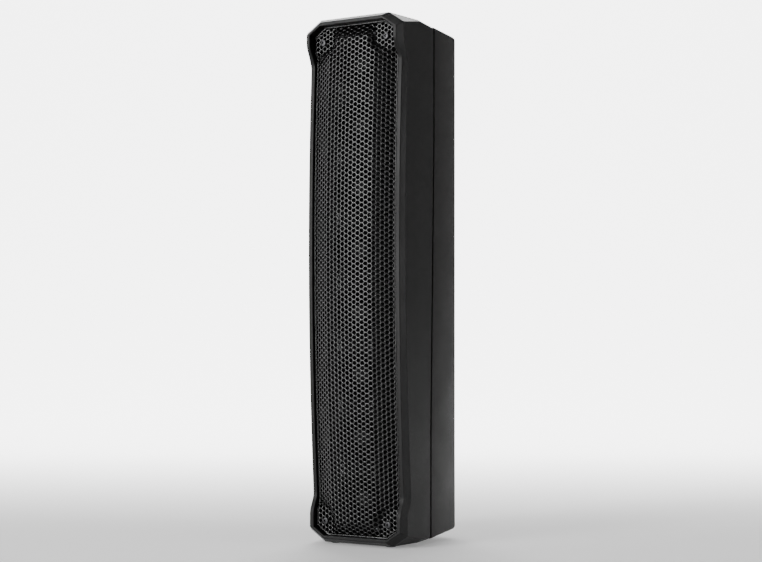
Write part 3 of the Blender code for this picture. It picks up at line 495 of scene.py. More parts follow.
wadding_fibre = surface(
    "wadding fibre", (0.52, 0.52, 0.49), 0.95, grain=0.0016, bump=0.0008, spread_colour=0.15
)
board_laminate = surface("board laminate", (0.015, 0.085, 0.035), 0.4, grain=0.0012, bump=0.00005,
                         edge_colour=(0.35, 0.24, 0.10))
coil_copper = surface(
    "coil copper", (0.52, 0.20, 0.085), 0.3, metallic=1.0, grain=0.0008, bump=0.00003
)
capacitor_case = surface(
    "capacitor sleeve", (0.025, 0.025, 0.060), 0.35, grain=0.0008, bump=0.00003
)
resistor_clay = surface("resistor body", (0.42, 0.36, 0.26), 0.6, grain=0.0004, bump=0.00005)
loom_sleeve = surface(
    "wire insulation", (0.035, 0.010, 0.010), 0.45, grain=0.0008, bump=0.00004, spread_colour=0.6
)
tie_nylon = surface("cable tie nylon", (0.55, 0.55, 0.52), 0.45, grain=0.0006, bump=0.00003)


# Outlines of the cabinet, as loops that run up its right side and down its left


def stations():
    """Heights where the side outlines have a point: closest together at the necks."""
    low = spread(BOTTOM_STEP - 0.0050, BOTTOM_NECK + 0.0050, 18)
    middle = spread(BOTTOM_NECK + 0.0050, TOP_NECK - 0.0050, 44)
    high = spread(TOP_NECK - 0.0050, TOP_STEP + 0.0050, 20)
    return low + middle[1:] + high[1:]


def outline(half, bottom, top, low_corner, high_corner, heights, place_y):
    right = [(half(bottom) - low_corner[0], bottom), (half(bottom), bottom + low_corner[1])]
    right += [(half(z), z) for z in heights]
    right += [(half(top), top - high_corner[1]), (half(top) - high_corner[0], top)]
    left = [(-x, z) for x, z in reversed(right)]
    return [(x, place_y(z), z) for x, z in right + left]


def make_front_shell():
    heights = stations()
    run = 0.0050
    mid_low, mid_high = mix(BOTTOM_Z, SEAM_LOW, FLANK_SHARE), mix(TOP_Z, SEAM_HIGH, FLANK_SHARE)

    def seam_front(z):
        return seam_y(z) - SEAM_GROOVE / 2

    def inside(z):
        return arc_y(z) + BAFFLE_SETBACK + BAFFLE_THICKNESS

    def rim_outer(z):
        return SHOULDER_HALF - chamfer_run(z)

    loops = [
        outline(lambda z: OPENING_HALF, OPENING_BOTTOM, OPENING_TOP, RIM_CORNER, RIM_CORNER, heights,
                lambda z: arc_y(z) + BAFFLE_SETBACK),
        outline(
            lambda z: OPENING_HALF, OPENING_BOTTOM, OPENING_TOP, RIM_CORNER, RIM_CORNER, heights,
            rim_y
        ),
        outline(rim_outer, BOTTOM_Z + run, TOP_Z - run, CORNER, CORNER, heights, rim_y),
        outline(lambda z: SHOULDER_HALF, BOTTOM_Z, TOP_Z, CORNER, CORNER, heights,
                lambda z: rim_y(z) + chamfer_depth(z)),
        outline(lambda z: mix(SHOULDER_HALF, SEAM_HALF, FLANK_SHARE), mid_low, mid_high, LOW_MID_CORNER,
                HIGH_MID_CORNER, heights, lambda z: depth(FLANK_MID)),
        outline(
            lambda z: SEAM_HALF, SEAM_LOW, SEAM_HIGH, SEAM_CORNER, SEAM_CORNER, heights, seam_front
        ),
        outline(lambda z: SEAM_HALF - WALL, SEAM_LOW + WALL, SEAM_HIGH - WALL, SEAM_CORNER, SEAM_CORNER, heights,
                seam_front),
        outline(
            lambda z: SHOULDER_HALF - WALL, BOTTOM_Z + WALL, TOP_Z - WALL, CORNER, CORNER, heights,
            inside
        ),
    ]
    bm = loft(loops, closed=True)
    bevel(bm, 0.0007, angle=12, segments=3)
    piece(
        "front_shell_looks", bm, front_plastic, ["front_shell"], crease=40,
        weighted=True
    )


def driver_z(index):
    return MID_Z + (index - (DRIVERS - 1) / 2) * DRIVER_PITCH


def junction_z(index):
    return MID_Z + (index - DRIVERS / 2) * DRIVER_PITCH


def driver_matrix(index):
    z = driver_z(index)
    return Matrix.Translation((0, arc_y(z) + BAFFLE_SETBACK - FLANGE_LEAD, z)) @ Matrix.Rotation(
        arc_tilt(z), 4, "X"
    )


def make_baffle():
    """The curved panel that the drivers are screwed to, with its openings and side recesses."""
    half = OPENING_HALF + 0.0002
    heights = spread(OPENING_BOTTOM - 0.0002, OPENING_TOP + 0.0002, 48)

    def face(behind):
        right = [(half, arc_y(z) + BAFFLE_SETBACK + behind, z) for z in heights]
        return right + [(-x, y, z) for x, y, z in reversed(right)]

    obj = piece("baffle_looks", loft([face(0.0), face(BAFFLE_THICKNESS)]), baffle_plastic,
                crease=25)
    cutters = []
    for i in range(DRIVERS):
        opening = rod(BASKET_RADIUS + 0.0003, (0, -0.03, 0), (0, 0.03, 0), 48)
        bmesh.ops.transform(opening, matrix=driver_matrix(i), verts=opening.verts)
        cutters.append(opening)
    for i in range(1, DRIVERS):
        y = arc_y(junction_z(i)) + BAFFLE_SETBACK
        for side in (-1, 1):
            cutters.append(rod(0.0045, (side * 0.0435, y - 0.01, junction_z(i)),
                               (side * 0.0435, y + 0.01, junction_z(i)), 24))
    cut(obj, "DIFFERENCE", joined(cutters))
    obj.data.set_sharp_from_angle(angle=math.radians(25))


# Rear shell


def rounded(half, bottom, top, radius, heights, place_y, steps=6):
    """A loop with rounded corners, up the right side and down the left."""
    right = []
    for i in range(steps + 1):
        a = -math.pi / 2 + math.pi / 2 * i / steps
        right.append((half - radius + radius * math.cos(a), bottom + radius + radius * math.sin(a)))
    right += [(half, z) for z in heights]
    for i in range(steps + 1):
        a = math.pi / 2 * i / steps
        right.append((half - radius + radius * math.cos(a), top - radius + radius * math.sin(a)))
    left = [(-x, z) for x, z in reversed(right)]
    return [(x, place_y(z), z) for x, z in right + left]


def make_rear_shell():
    heights = spread(BOTTOM_Z + 0.1310, TOP_Z - 0.1403, 12)

    def ring(inset, y, radius):
        return rounded(
            BACK_HALF - inset, BACK_LOW + inset, BACK_HIGH - inset, radius, heights, lambda z: y
        )

    loops = []
    steps = 8
    for i in range(steps + 1):
        angle = math.pi / 2 * i / steps
        inset = BACK_FILLET * (1 - math.sin(angle))
        loops.append(ring(inset, BACK_Y - BACK_FILLET * (1 - math.cos(angle)),
                          mix(BACK_CORNER, FILLET_CORNER, inset / BACK_FILLET)))
    loops.append(rounded(SEAM_HALF, SEAM_LOW, SEAM_HIGH, REAR_SEAM_CORNER, heights,
                         lambda z: seam_y(z) + SEAM_GROOVE / 2))
    loops.append(rounded(SEAM_HALF - WALL, SEAM_LOW + WALL, SEAM_HIGH - WALL, REAR_INNER_CORNER, heights,
                         lambda z: seam_y(z) + SEAM_GROOVE / 2))
    loops.append(ring(WALL + 0.001, BACK_Y - BACK_FILLET, 0.0030))
    loops.append(ring(BACK_FILLET, BACK_Y - WALL, 0.0015))
    bm = loft(loops)
    bevel(
        bm, 0.0007, angle=50, segments=3,
        keep=lambda edge: all(v.co.y < depth(0.09) for v in edge.verts)
    )
    obj = piece("rear_shell_looks", bm, rear_plastic, ["rear_shell"], crease=40)
    well = box((plate_high.x - plate_low.x + 0.0006, 0.05, plate_high.z - plate_low.z + 0.0006),
               (0, plate_low.y + 0.025, (plate_low.z + plate_high.z) / 2))
    bevel(
        well, 0.003, segments=4,
        keep=lambda edge: abs(edge.verts[0].co.y - edge.verts[1].co.y) > 0.01
    )
    cut(obj, "DIFFERENCE", well)
    pole_low, pole_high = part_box("pole_socket")
    middle = (pole_low + pole_high) / 2
    cut(obj, "DIFFERENCE", rod(0.0135, (0, middle.y, -0.01), (0, middle.y, 0.03), 48))
    obj.data.set_sharp_from_angle(angle=math.radians(40))


def make_gasket():
    heights = spread(BOTTOM_Z + 0.1310, TOP_Z - 0.1403, 12)
    reach = SEAM_GROOVE / 2 - 0.0002

    def ring(inset, side):
        return rounded(SEAM_HALF - inset, SEAM_LOW + inset, SEAM_HIGH - inset, 0.0030, heights,
                       lambda z: seam_y(z) + side * reach)

    loops = [ring(0.0022, -1), ring(0.0018, -0.5), ring(0.0018, 0.5), ring(0.0022, 1), ring(0.0058, 1),
             ring(0.0058, -1)]
    piece(
        "seam_gasket_looks", loft(loops, closed=True), gasket_rubber,
        ["seam_gasket"]
    )


# Grille


def pad_y(z):
    return depth(PAD_DEPTH if z > MID_Z else BOTTOM_BLOCK_SETBACK + PAD_DEPTH - PAD_LEAD_BOTTOM)


def pad_share(x, z):
    """1 on a corner pad, 0 on the formed panel, and between on the slope round the pad."""
    across = max(0, (PAD_X_HIGH if z > MID_Z else PAD_X_LOW) + PAD_ROUND - abs(x))
    best = 0
    for above in (z - PAD_HIGH, PAD_LOW - z):
        along = max(0, PAD_ROUND - above)
        best = max(best, share(PAD_ROUND - math.hypot(across, along), -PAD_SLOPE, 0))
    return smooth(best)


def grille_y(x, z):
    across = abs(x)
    face = arc_y(z) - GRILLE_PROUD
    if across < GRILLE_FOLD:
        face += GRILLE_CROWN * (across / GRILLE_FOLD) ** 2
    else:
        face += GRILLE_CROWN + (across - GRILLE_FOLD) * GRILLE_SIDE_SLOPE
    end = max(share(z, GRILLE_TOP - GRILLE_BORDER, GRILLE_TOP),
              share(-z, -(GRILLE_BOTTOM + GRILLE_BORDER), -GRILLE_BOTTOM))
    face = mix(face, max(face, pad_y(z)), end)
    return mix(face, pad_y(z), pad_share(x, z))


def unroll(coordinate, limit, step, slope):
    """(flat distance, place) pairs along a bent line, from 0 to the limit."""
    flat, place, pairs = 0.0, 0.0, [(0.0, 0.0)]
    while place < limit:
        place += step
        flat += step * math.hypot(1, slope(coordinate(place)))
        pairs.append((flat, place))
    return pairs


def follow(pairs, flat):
    """Where a flat distance comes to on the bent line."""
    position = abs(flat)
    low, high = 0, len(pairs) - 1
    if position >= pairs[-1][0]:
        place = pairs[-1][1] + position - pairs[-1][0]
        return math.copysign(place, flat)
    while high - low > 1:
        middle = (low + high) // 2
        if pairs[middle][0] <= position:
            low = middle
        else:
            high = middle
    (f0, p0), (f1, p1) = pairs[low], pairs[high]
    return math.copysign(p0 + (p1 - p0) * (position - f0) / (f1 - f0), flat)


def grille_lines():
    """Flat-to-bent pairs across the sheet, and up and down it from the middle."""

    def side_slope(x):
        if x < GRILLE_FOLD:
            return 2 * GRILLE_CROWN * x / GRILLE_FOLD ** 2
        return GRILLE_SIDE_SLOPE

    def end_slope(z):
        return (grille_y(0, z + 0.0002) - grille_y(0, z - 0.0002)) / 0.0004

    across = unroll(lambda p: p, GRILLE_HALF, 0.0005, side_slope)
    up = unroll(lambda p: MID_Z + p, GRILLE_TOP - MID_Z, 0.0005, end_slope)
    down = unroll(lambda p: MID_Z - p, MID_Z - GRILLE_BOTTOM, 0.0005, end_slope)
    return across, up, down


def perforated_cells(half, low, high):
    """Six-sided cells with a round hole each, in staggered columns, covering the flat rectangle."""
    spacing = HOLE_PITCH * math.sqrt(3) / 2
    bm = bmesh.new()
    bmesh.ops.create_circle(bm, segments=HOLE_SIDES, radius=HOLE_RADIUS)
    outer = bmesh.ops.create_circle(bm, segments=HOLE_SIDES, radius=HOLE_PITCH)["verts"]
    for vert in outer:
        angle = math.atan2(vert.co.y, vert.co.x)
        turn = (angle + math.radians(30)) % math.radians(60) - math.radians(30)
        corner = HOLE_PITCH / math.sqrt(3)
        vert.co *= (corner if abs(turn) < 0.1 else HOLE_PITCH / 2) / HOLE_PITCH
    edges = [edge for edge in bm.edges]
    bmesh.ops.bridge_loops(bm, edges=edges)
    pair = bmesh.ops.duplicate(bm, geom=bm.verts[:] + bm.edges[:] + bm.faces[:])["geom"]
    bmesh.ops.translate(
        bm, vec=(spacing, HOLE_PITCH / 2, 0),
        verts=[v for v in pair if isinstance(v, bmesh.types.BMVert)]
    )
    columns = 2 * math.ceil(half / spacing / 2) + 2
    rows = math.ceil((high - low) / HOLE_PITCH) + 2
    bmesh.ops.translate(
        bm, vec=(-spacing * (columns - 0.5), low - HOLE_PITCH / 2, 0), verts=bm.verts
    )
    mesh = bpy.data.meshes.new("cells")
    bm.to_mesh(mesh)
    bm.free()
    cells = bpy.data.objects.new("cells", mesh)
    bpy.context.scene.collection.objects.link(cells)
    for name, count, step in (
        ("across", columns, (2 * spacing, 0, 0)), ("up", rows, (0, HOLE_PITCH, 0))
    ):
        array = cells.modifiers.new(name, "ARRAY")
        array.count = count
        array.use_relative_offset = False
        array.use_constant_offset = True
        array.constant_offset_displace = step
    bpy.context.view_layer.update()
    graph_now = bpy.context.evaluated_depsgraph_get()
    made = bpy.data.meshes.new_from_object(cells.evaluated_get(graph_now))
    bpy.data.objects.remove(cells)
    bm = bmesh.new()
    bm.from_mesh(made)
    bpy.data.meshes.remove(made)
    bmesh.ops.remove_doubles(bm, verts=bm.verts, dist=0.00002)
    return bm


def clip(bm, point, normal):
    """Removes what lies beyond a line of the flat sheet."""
    bmesh.ops.bisect_plane(
        bm, geom=bm.verts[:] + bm.edges[:] + bm.faces[:], dist=1e-7, plane_co=(*point, 0),
        plane_no=(*normal, 0),
        clear_outer=True,
    )


def make_grille():
    across, up, down = grille_lines()
    half, high, low = across[-1][0], up[-1][0], -down[-1][0]
    corner_x, corner_z = GRILLE_CORNER[0] * half / GRILLE_HALF * 1.1, GRILLE_CORNER[1] * 1.2
    bm = perforated_cells(half, low, high)
    clip(bm, (half - HEM, 0), (1, 0))
    clip(bm, (HEM - half, 0), (-1, 0))
    clip(bm, (0, high - HEM), (0, 1))
    clip(bm, (0, low + HEM), (0, -1))
    for side in (-1, 1):
        clip(bm, (side * (half - corner_x - HEM), high), (side * corner_z, corner_x))
        clip(bm, (side * (half - corner_x - HEM), low), (side * corner_z, -corner_x))

    def border(inset, steps=90):
        slant = inset * 0.6
        right = [(half - corner_x - slant, low + inset), (half - inset, low + corner_z + slant)]
        right += [(half - inset, z)
                  for z in spread(low + corner_z + slant, high - corner_z - slant, steps)[1:-1]]
        right += [(half - inset, high - corner_z - slant), (half - corner_x - slant, high - inset)]
        top = [(x, high - inset)
               for x in spread(half - corner_x - slant, corner_x + slant - half, 24)[1:-1]]
        left = [(-x, z) for x, z in reversed(right)]
        bottom = [(x, low + inset)
                  for x in spread(corner_x + slant - half, half - corner_x - slant, 24)[1:-1]]
        return right + top + left + bottom

    outer, inner = border(0), border(HEM)
    rings = [[bm.verts.new((*p, 0)) for p in loop] for loop in (inner, outer)]
    hem_edge = []
    count = len(outer)
    for i in range(count):
        j = (i + 1) % count
        bm.faces.new((rings[0][i], rings[0][j], rings[1][j], rings[1][i]))
        hem_edge.append(bm.edges.get((rings[1][i], rings[1][j])))
    bmesh.ops.recalc_face_normals(bm, faces=bm.faces)
    for vert in bm.verts:
        x = follow(across, vert.co.x)
        z = MID_Z + follow(up if vert.co.y > 0 else down, vert.co.y)
        vert.co = (x, grille_y(x, z), z)
    lip = bmesh.ops.extrude_edge_only(bm, edges=hem_edge)["geom"]
    bmesh.ops.translate(
        bm, vec=(0, 0.0035, 0), verts=[v for v in lip if isinstance(v, bmesh.types.BMVert)]
    )
    bmesh.ops.recalc_face_normals(bm, faces=bm.faces)
    wrong = [face for face in bm.faces if face.normal.y > 0.02]
    bmesh.ops.reverse_faces(bm, faces=wrong)
    obj = piece("grille_looks", bm, powder_coat, ["grille"], crease=35)
    sheet = obj.modifiers.new("sheet", "SOLIDIFY")
    sheet.thickness = SHEET
    sheet.offset = -1


# Screws


def socket_screw(head, height, shank, length, sides=32):
    """A socket-head screw along +Y, its head's underside at the origin; add_socket cuts its six-sided recess."""
    profile = [
        (0, length), (shank * 0.7, length), (shank, length - shank * 0.4), (shank, 0),
        (head * 0.95, 0),
        (head, -height * 0.12), (head, -height * 0.72), (head * 0.93, -height * 0.92),
        (head * 0.82, -height),
        (0, -height),
    ]
    bm = turned(profile, sides)
    return bm


def add_socket(obj, places, radius, top, deep):
    """Cuts a six-sided recess in each head."""
    cutters = [
        rod(radius, (x, y - top - 0.002, z), (x, y - top + deep, z), 6) for x, y, z in places
    ]
    cut(obj, "DIFFERENCE", joined(cutters))
    obj.data.set_sharp_from_angle(angle=SHADE_ANGLE)


def make_screws():
    for group, count, head, height, shank, material in (
        ("grille_screw", 4, GRILLE_SCREW_HEAD, GRILLE_SCREW_HEAD_HEIGHT, GRILLE_SCREW_SHANK,
         black_steel),
        ("shell_screw", 6, SHELL_SCREW_HEAD, SHELL_SCREW_HEAD_HEIGHT, SHELL_SCREW_SHANK,
         black_steel),
    ):
        for number in range(1, count + 1):
            name = f"{group}_{number}"
            low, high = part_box(name)
            x, z = (low.x + high.x) / 2, (low.z + high.z) / 2
            underside = low.y + height
            bm = moved(socket_screw(head, height, shank, high.y - underside), (x, underside, z))
            obj = piece(f"{name}_looks", bm, material, [name], crease=35)
            add_socket(obj, [(x, underside, z)], 0.0021, height, 0.0020)


# Drivers


def flange_ring(y, inset=0.0, sides=64):
    """A loop of the flange's rounded rectangle."""
    half_x, half_z, corner = 0.034 - inset, 0.037 - inset, 0.009
    points = []
    for i in range(sides):
        a = 2 * math.pi * i / sides
        reach = 1.0
        lo, hi = 0.0, 0.06
        for _ in range(24):
            reach = (lo + hi) / 2
            x, z = abs(reach * math.cos(a)), abs(reach * math.sin(a))
            dx, dz = max(x - half_x + corner, 0), max(z - half_z + corner, 0)
            outside = x > half_x or z > half_z or math.hypot(dx, dz) > corner
            lo, hi = (lo, reach) if outside else (reach, hi)
        points.append((reach * math.cos(a), y, reach * math.sin(a)))
    return points


def ring_at(radius, y, sides=64):
    turns = [2 * math.pi * i / sides for i in range(sides)]
    return [(radius * math.cos(a), y, radius * math.sin(a)) for a in turns]


def make_driver(index):
    number = DRIVERS - index
    place = driver_matrix(index)

    def put(name, bm, material, replaced, body="cabinet", crease=35):
        bmesh.ops.transform(bm, matrix=place, verts=bm.verts)
        return piece(name, bm, material, replaced, body, crease)

    foot = 0.0192
    coil_hole = 0.0113
    loops = [
        ring_at(OPEN_RADIUS, 0.0006), ring_at(OPEN_RADIUS + 0.0008, 0),
        ring_at(OPEN_RADIUS + 0.0018, 0),
        ring_at(OPEN_RADIUS + 0.0022, 0.0005), flange_ring(0.0005, 0.0006), flange_ring(0.0008),
        flange_ring(0.0025), ring_at(BASKET_RADIUS, 0.0025), ring_at(BASKET_RADIUS, 0.0032),
        ring_at(foot, 0.0215),
        ring_at(foot, 0.0240), ring_at(coil_hole, 0.0240), ring_at(coil_hole, 0.0222),
        ring_at(foot - 0.002, 0.0222),
        ring_at(OPEN_RADIUS, 0.0045),
    ]
    put(f"driver_frame_{number}_looks", loft(loops, closed=True), frame_paint,
        [f"driver_frame_{number}"])

    screws = []
    for side_x in (-1, 1):
        for side_z in (-1, 1):
            x, z = side_x * DRIVER_SCREWS[0], side_z * DRIVER_SCREWS[1]
            profile = [(0, 0.0040), (0.0012, 0.0040), (0.0012, 0.0005), (0.0026, 0.0005), (0.0024, -0.0006),
                       (0.0016, -0.0013), (0.0007, -0.0015), (0.0007, -0.0006), (0, -0.0006)]
            screws.append(moved(turned(profile, 20), (x, 0, z)))
    put(f"driver_screws_{number}", joined(screws), plated_steel, [])

    magnet, front, pole, floor = 0.0182, 0.0243, 0.0079, 0.0350
    profile = [
        (0, 0.0163), (0.0064, 0.0163), (pole, 0.0173), (pole, floor), (coil_hole, floor),
        (coil_hole, front),
        (magnet - 0.0006, front), (magnet, front + 0.0006), (magnet, 0.0287),
        (magnet - 0.0012, 0.0289),
        (magnet - 0.0012, 0.0345), (magnet, 0.0347), (magnet, 0.0387), (magnet - 0.0006, 0.0393),
        (0.0035, 0.0393),
        (0.0028, 0.0380), (0, 0.0380),
    ]
    put(f"driver_magnet_{number}_looks", turned(profile, 48), magnet_steel,
        [f"driver_magnet_{number}"])

    rim, neck, coil_end, cap = 0.0046, 0.0125, 0.0315, 0.0108
    flare = [(mix(cap, CONE_RADIUS, t), mix(neck - 0.0006, rim, t ** 0.85))
             for t in spread(0, 1, 8)]
    under = [(mix(CONE_RADIUS, COIL_RADIUS, t), mix(rim, neck, t ** 1.1) + 0.0009)
             for t in spread(0, 1, 6)]
    cap_y = flare[0][1]
    profile = [(0, cap_y + 0.0006)] + flare + under
    profile += [(COIL_RADIUS, coil_end), (COIL_RADIUS - 0.0007, coil_end), (COIL_RADIUS - 0.0007, cap_y + 0.0014),
                (0, cap_y + 0.0014)]
    put(f"driver_cone_{number}_looks", turned(profile, 64), cone_paper,
        [f"driver_cone_{number}"], f"cone_{number}", 30)
    dome = [(0, cap_y + 0.0004)] + [(cap * math.cos(a), cap_y - 0.0031 * math.sin(a)) for a in
                                    [math.pi / 2 * i / 7 for i in range(8)]]
    dome[-1] = (0, cap_y - 0.0031)
    put(f"driver_cap_{number}", turned(dome, 48), cap_paper, [], f"cone_{number}")

    outer_y, sheet = 0.0012, 0.0006
    roll = []
    for t in spread(0, 1, 14):
        radius = mix(SURROUND_INNER - 0.0012, SURROUND_OUTER, t)
        base = mix(rim, outer_y, smooth(t))
        lift = 0.0024 * math.sin(math.pi * share(t, 0.18, 0.92)) ** 0.8
        roll.append((radius, base - lift * (1 - t * 0.6)))
    profile = roll + [(radius, y + sheet) for radius, y in reversed(roll)]
    bm = turned(profile, 64)
    bmesh.ops.transform(bm, matrix=place, verts=bm.verts)
    obj = piece(f"driver_surround_{number}_looks", bm, surround_rubber,
                [f"driver_surround_{number}"], body=None)
    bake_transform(obj)


# Back plate, pole socket, feet and what is inside


def centre(name):
    low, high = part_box(name)
    return (low + high) / 2


def size_of(name):
    low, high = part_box(name)
    return high - low


def upright(bm, place):
    """Stands a solid turned about Y on the Z axis at this place, its +Y end up."""
    bmesh.ops.rotate(
        bm, cent=(0, 0, 0), matrix=Matrix.Rotation(math.pi / 2, 3, "X"), verts=bm.verts
    )
    return moved(bm, place)


def grow(obj, bm):
    """Adds this mesh to an object's own."""
    own = bmesh.new()
    own.from_mesh(obj.data)
    whole = joined([own, bm])
    whole.to_mesh(obj.data)
    whole.free()
    obj.data.shade_smooth()
    obj.data.set_sharp_from_angle(angle=SHADE_ANGLE)


def pan_screw(radius, sides=20):
    """A small crosswise-driven screw head that looks along +Y, its underside at the origin."""
    profile = [(0, -0.0010), (radius * 0.5, -0.0010), (radius, 0), (radius * 0.92, 0.0007), (radius * 0.6, 0.0012),
               (radius * 0.25, 0.0013), (radius * 0.2, 0.0006), (0, 0.0006)]
    return turned(profile, sides)


def make_connector_plate():
    middle, size = centre("connector_plate"), size_of("connector_plate")
    bm = box(size, middle)
    bevel(
        bm, 0.0028, segments=5,
        keep=lambda edge: abs(edge.verts[0].co.y - edge.verts[1].co.y) > size.y / 2
    )
    bevel(bm, 0.0004, angle=60, segments=2)
    obj = piece(
        "connector_plate_looks", bm, plate_plastic, ["connector_plate"], crease=35
    )
    holes = []
    for name in ("speaker_socket_in", "speaker_socket_link"):
        z = centre(name).z
        holes.append(rod(0.0122, (0, middle.y - 0.01, z), (0, middle.y + 0.01, z), 48))
    cut(obj, "DIFFERENCE", joined(holes))
    obj.data.set_sharp_from_angle(angle=SHADE_ANGLE)
    back = middle.y + size.y / 2
    corners = [(side * (size.x / 2 - PLATE_SCREW_INSET), up * (size.z / 2 - PLATE_SCREW_INSET))
               for side in (-1, 1) for up in (-1, 1)]
    heads = [moved(pan_screw(0.0028), (x, back, middle.z + z)) for x, z in corners]
    piece("plate_screws", joined(heads), black_steel, [])


def make_connector(name):
    low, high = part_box(name)
    middle, back = (low + high) / 2, high.y
    flange, thick = (0.026, 0.031), 0.0025
    bm = box((flange[0], thick, flange[1]), (0, back - thick / 2, middle.z))
    bevel(
        bm, 0.0030, segments=5,
        keep=lambda edge: abs(edge.verts[0].co.y - edge.verts[1].co.y) > thick / 2
    )
    bevel(bm, 0.0005, angle=60, segments=3, keep=lambda edge: edge.verts[0].co.y > back - thick / 2)
    obj = piece(f"{name}_looks", bm, socket_plastic, [name], crease=35)
    cut(obj, "DIFFERENCE", rod(0.0115, (0, back - 0.01, middle.z), (0, back + 0.01, middle.z), 48))
    floor = back - 0.014
    bore = [(0.0119, low.y), (0.0119, back - 0.0004), (0.0114, back), (0.0103, back), (0.0098, back - 0.0006),
            (0.0098, floor), (0, floor), (0, low.y)]
    core = [(0.0026, floor - 0.001), (0.0062, floor - 0.001), (0.0062, back - 0.0035), (0.0056, back - 0.0028),
            (0.0032, back - 0.0028), (0.0026, back - 0.0034)]
    keys = []
    for a in (20, 140, 260):
        turn = math.radians(a)
        key = box((0.0030, 0.0110, 0.0012), (0, floor + 0.0055, 0.0093))
        bmesh.ops.rotate(key, cent=(0, 0, 0), matrix=Matrix.Rotation(turn, 3, "Y"), verts=key.verts)
        keys.append(moved(key, (0, 0, middle.z)))
    grow(
        obj,
        joined([moved(turned(bore, 48), (0, 0, middle.z)), moved(turned(core, 32), (0, 0, middle.z)), *keys])
    )
    contacts = []
    for a in (45, 135, 225, 315):
        strip = box((0.0024, 0.0075, 0.0006), (0, back - 0.0080, 0.0064))
        bevel(strip, 0.0002, segments=2)
        bmesh.ops.rotate(
            strip, cent=(0, 0, 0), matrix=Matrix.Rotation(math.radians(a), 3, "Y"),
            verts=strip.verts
        )
        contacts.append(moved(strip, (0, 0, middle.z)))
    piece(f"{name}_contacts", joined(contacts), contact_brass, [])
    heads = [moved(pan_screw(SOCKET_SCREW_HEAD),
                   (side * SOCKET_SCREW_X, back - 0.0013, middle.z + side * SOCKET_SCREW_Z))
             for side in (-1, 1)]
    piece(f"{name}_screws", joined(heads), black_steel, [])


def make_pole_socket():
    low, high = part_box("pole_socket")
    middle, length = (low + high) / 2, high.z - low.z
    profile = [
        (0.0112, 0), (0.0164, 0), (0.0170, 0.0006), (0.0170, 0.0021), (0.0166, 0.0025),
        (0.0130, 0.0025),
        (0.0130, length - 0.0008), (0.0122, length), (0, length), (0, length - 0.0030),
        (0.0096, length - 0.0030),
        (0.0100, length - 0.0034), (0.0100, 0.0012),
    ]
    piece("pole_socket_looks", upright(turned(profile, 48), (middle.x, middle.y, low.z)), socket_steel,
          ["pole_socket"])
    places = [(POLE_SCREW_CIRCLE * math.cos(a), POLE_SCREW_CIRCLE * math.sin(a))
              for a in [math.radians(d) for d in (30, 150, 270)]]
    heads = []
    for x, y in places:
        head = pan_screw(0.0017, 16)
        bmesh.ops.rotate(
            head, cent=(0, 0, 0), matrix=Matrix.Rotation(-math.pi / 2, 3, "X"), verts=head.verts
        )
        heads.append(moved(head, (middle.x + x, middle.y + y, low.z)))
    piece("pole_socket_screws", joined(heads), black_steel, [])


def make_feet():
    for number in range(1, 5):
        name = f"foot_{number}"
        low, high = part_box(name)
        middle, height, radius = (low + high) / 2, high.z - low.z, (high.x - low.x) / 2
        profile = [(0, height), (radius * 0.90, height), (radius, height * 0.92), (radius * 0.97, height * 0.3),
                   (radius * 0.93, height * 0.1), (radius * 0.84, 0), (radius * 0.45, 0),
                   (radius * 0.40, height * 0.12),
                   (radius * 0.40, height * 0.4), (0, height * 0.4)]
        piece(f"{name}_looks", upright(turned(profile, 40), (middle.x, middle.y, low.z)), foot_rubber,
              [name])


def make_wadding():
    middle, size = centre("damping_wadding"), size_of("damping_wadding")
    bm = box((1, 1, 1), (0, 0, 0))
    bmesh.ops.subdivide_edges(bm, edges=bm.edges, cuts=9, use_grid_fill=True)
    for vert in bm.verts:
        x, y, z = vert.co
        round_off = 1 - 0.10 * (abs(x) * 2) ** 6 - 0.10 * (abs(y) * 2) ** 4
        flat = Vector((x * size.x * (1 - 0.12 * (abs(y) * 2) ** 4), y * size.y * round_off, z * size.z))
        lump = noise.noise(Vector((flat.x * 45, flat.y * 45, flat.z * 45)))
        vert.co = flat * (0.94 + 0.05 * lump)
        vert.co.z = flat.z * (0.985 + 0.012 * lump)
    moved(bm, middle)
    obj = piece(
        "damping_wadding_looks", bm, wadding_fibre, ["damping_wadding"], crease=80
    )
    smoother = obj.modifiers.new("soft", "SUBSURF")
    smoother.levels = 1
    smoother.render_levels = 1


def lead(points, radius=0.0004):
    """A bent wire through these points."""
    return joined([rod(radius, a, b, 8) for a, b in zip(points, points[1:])])


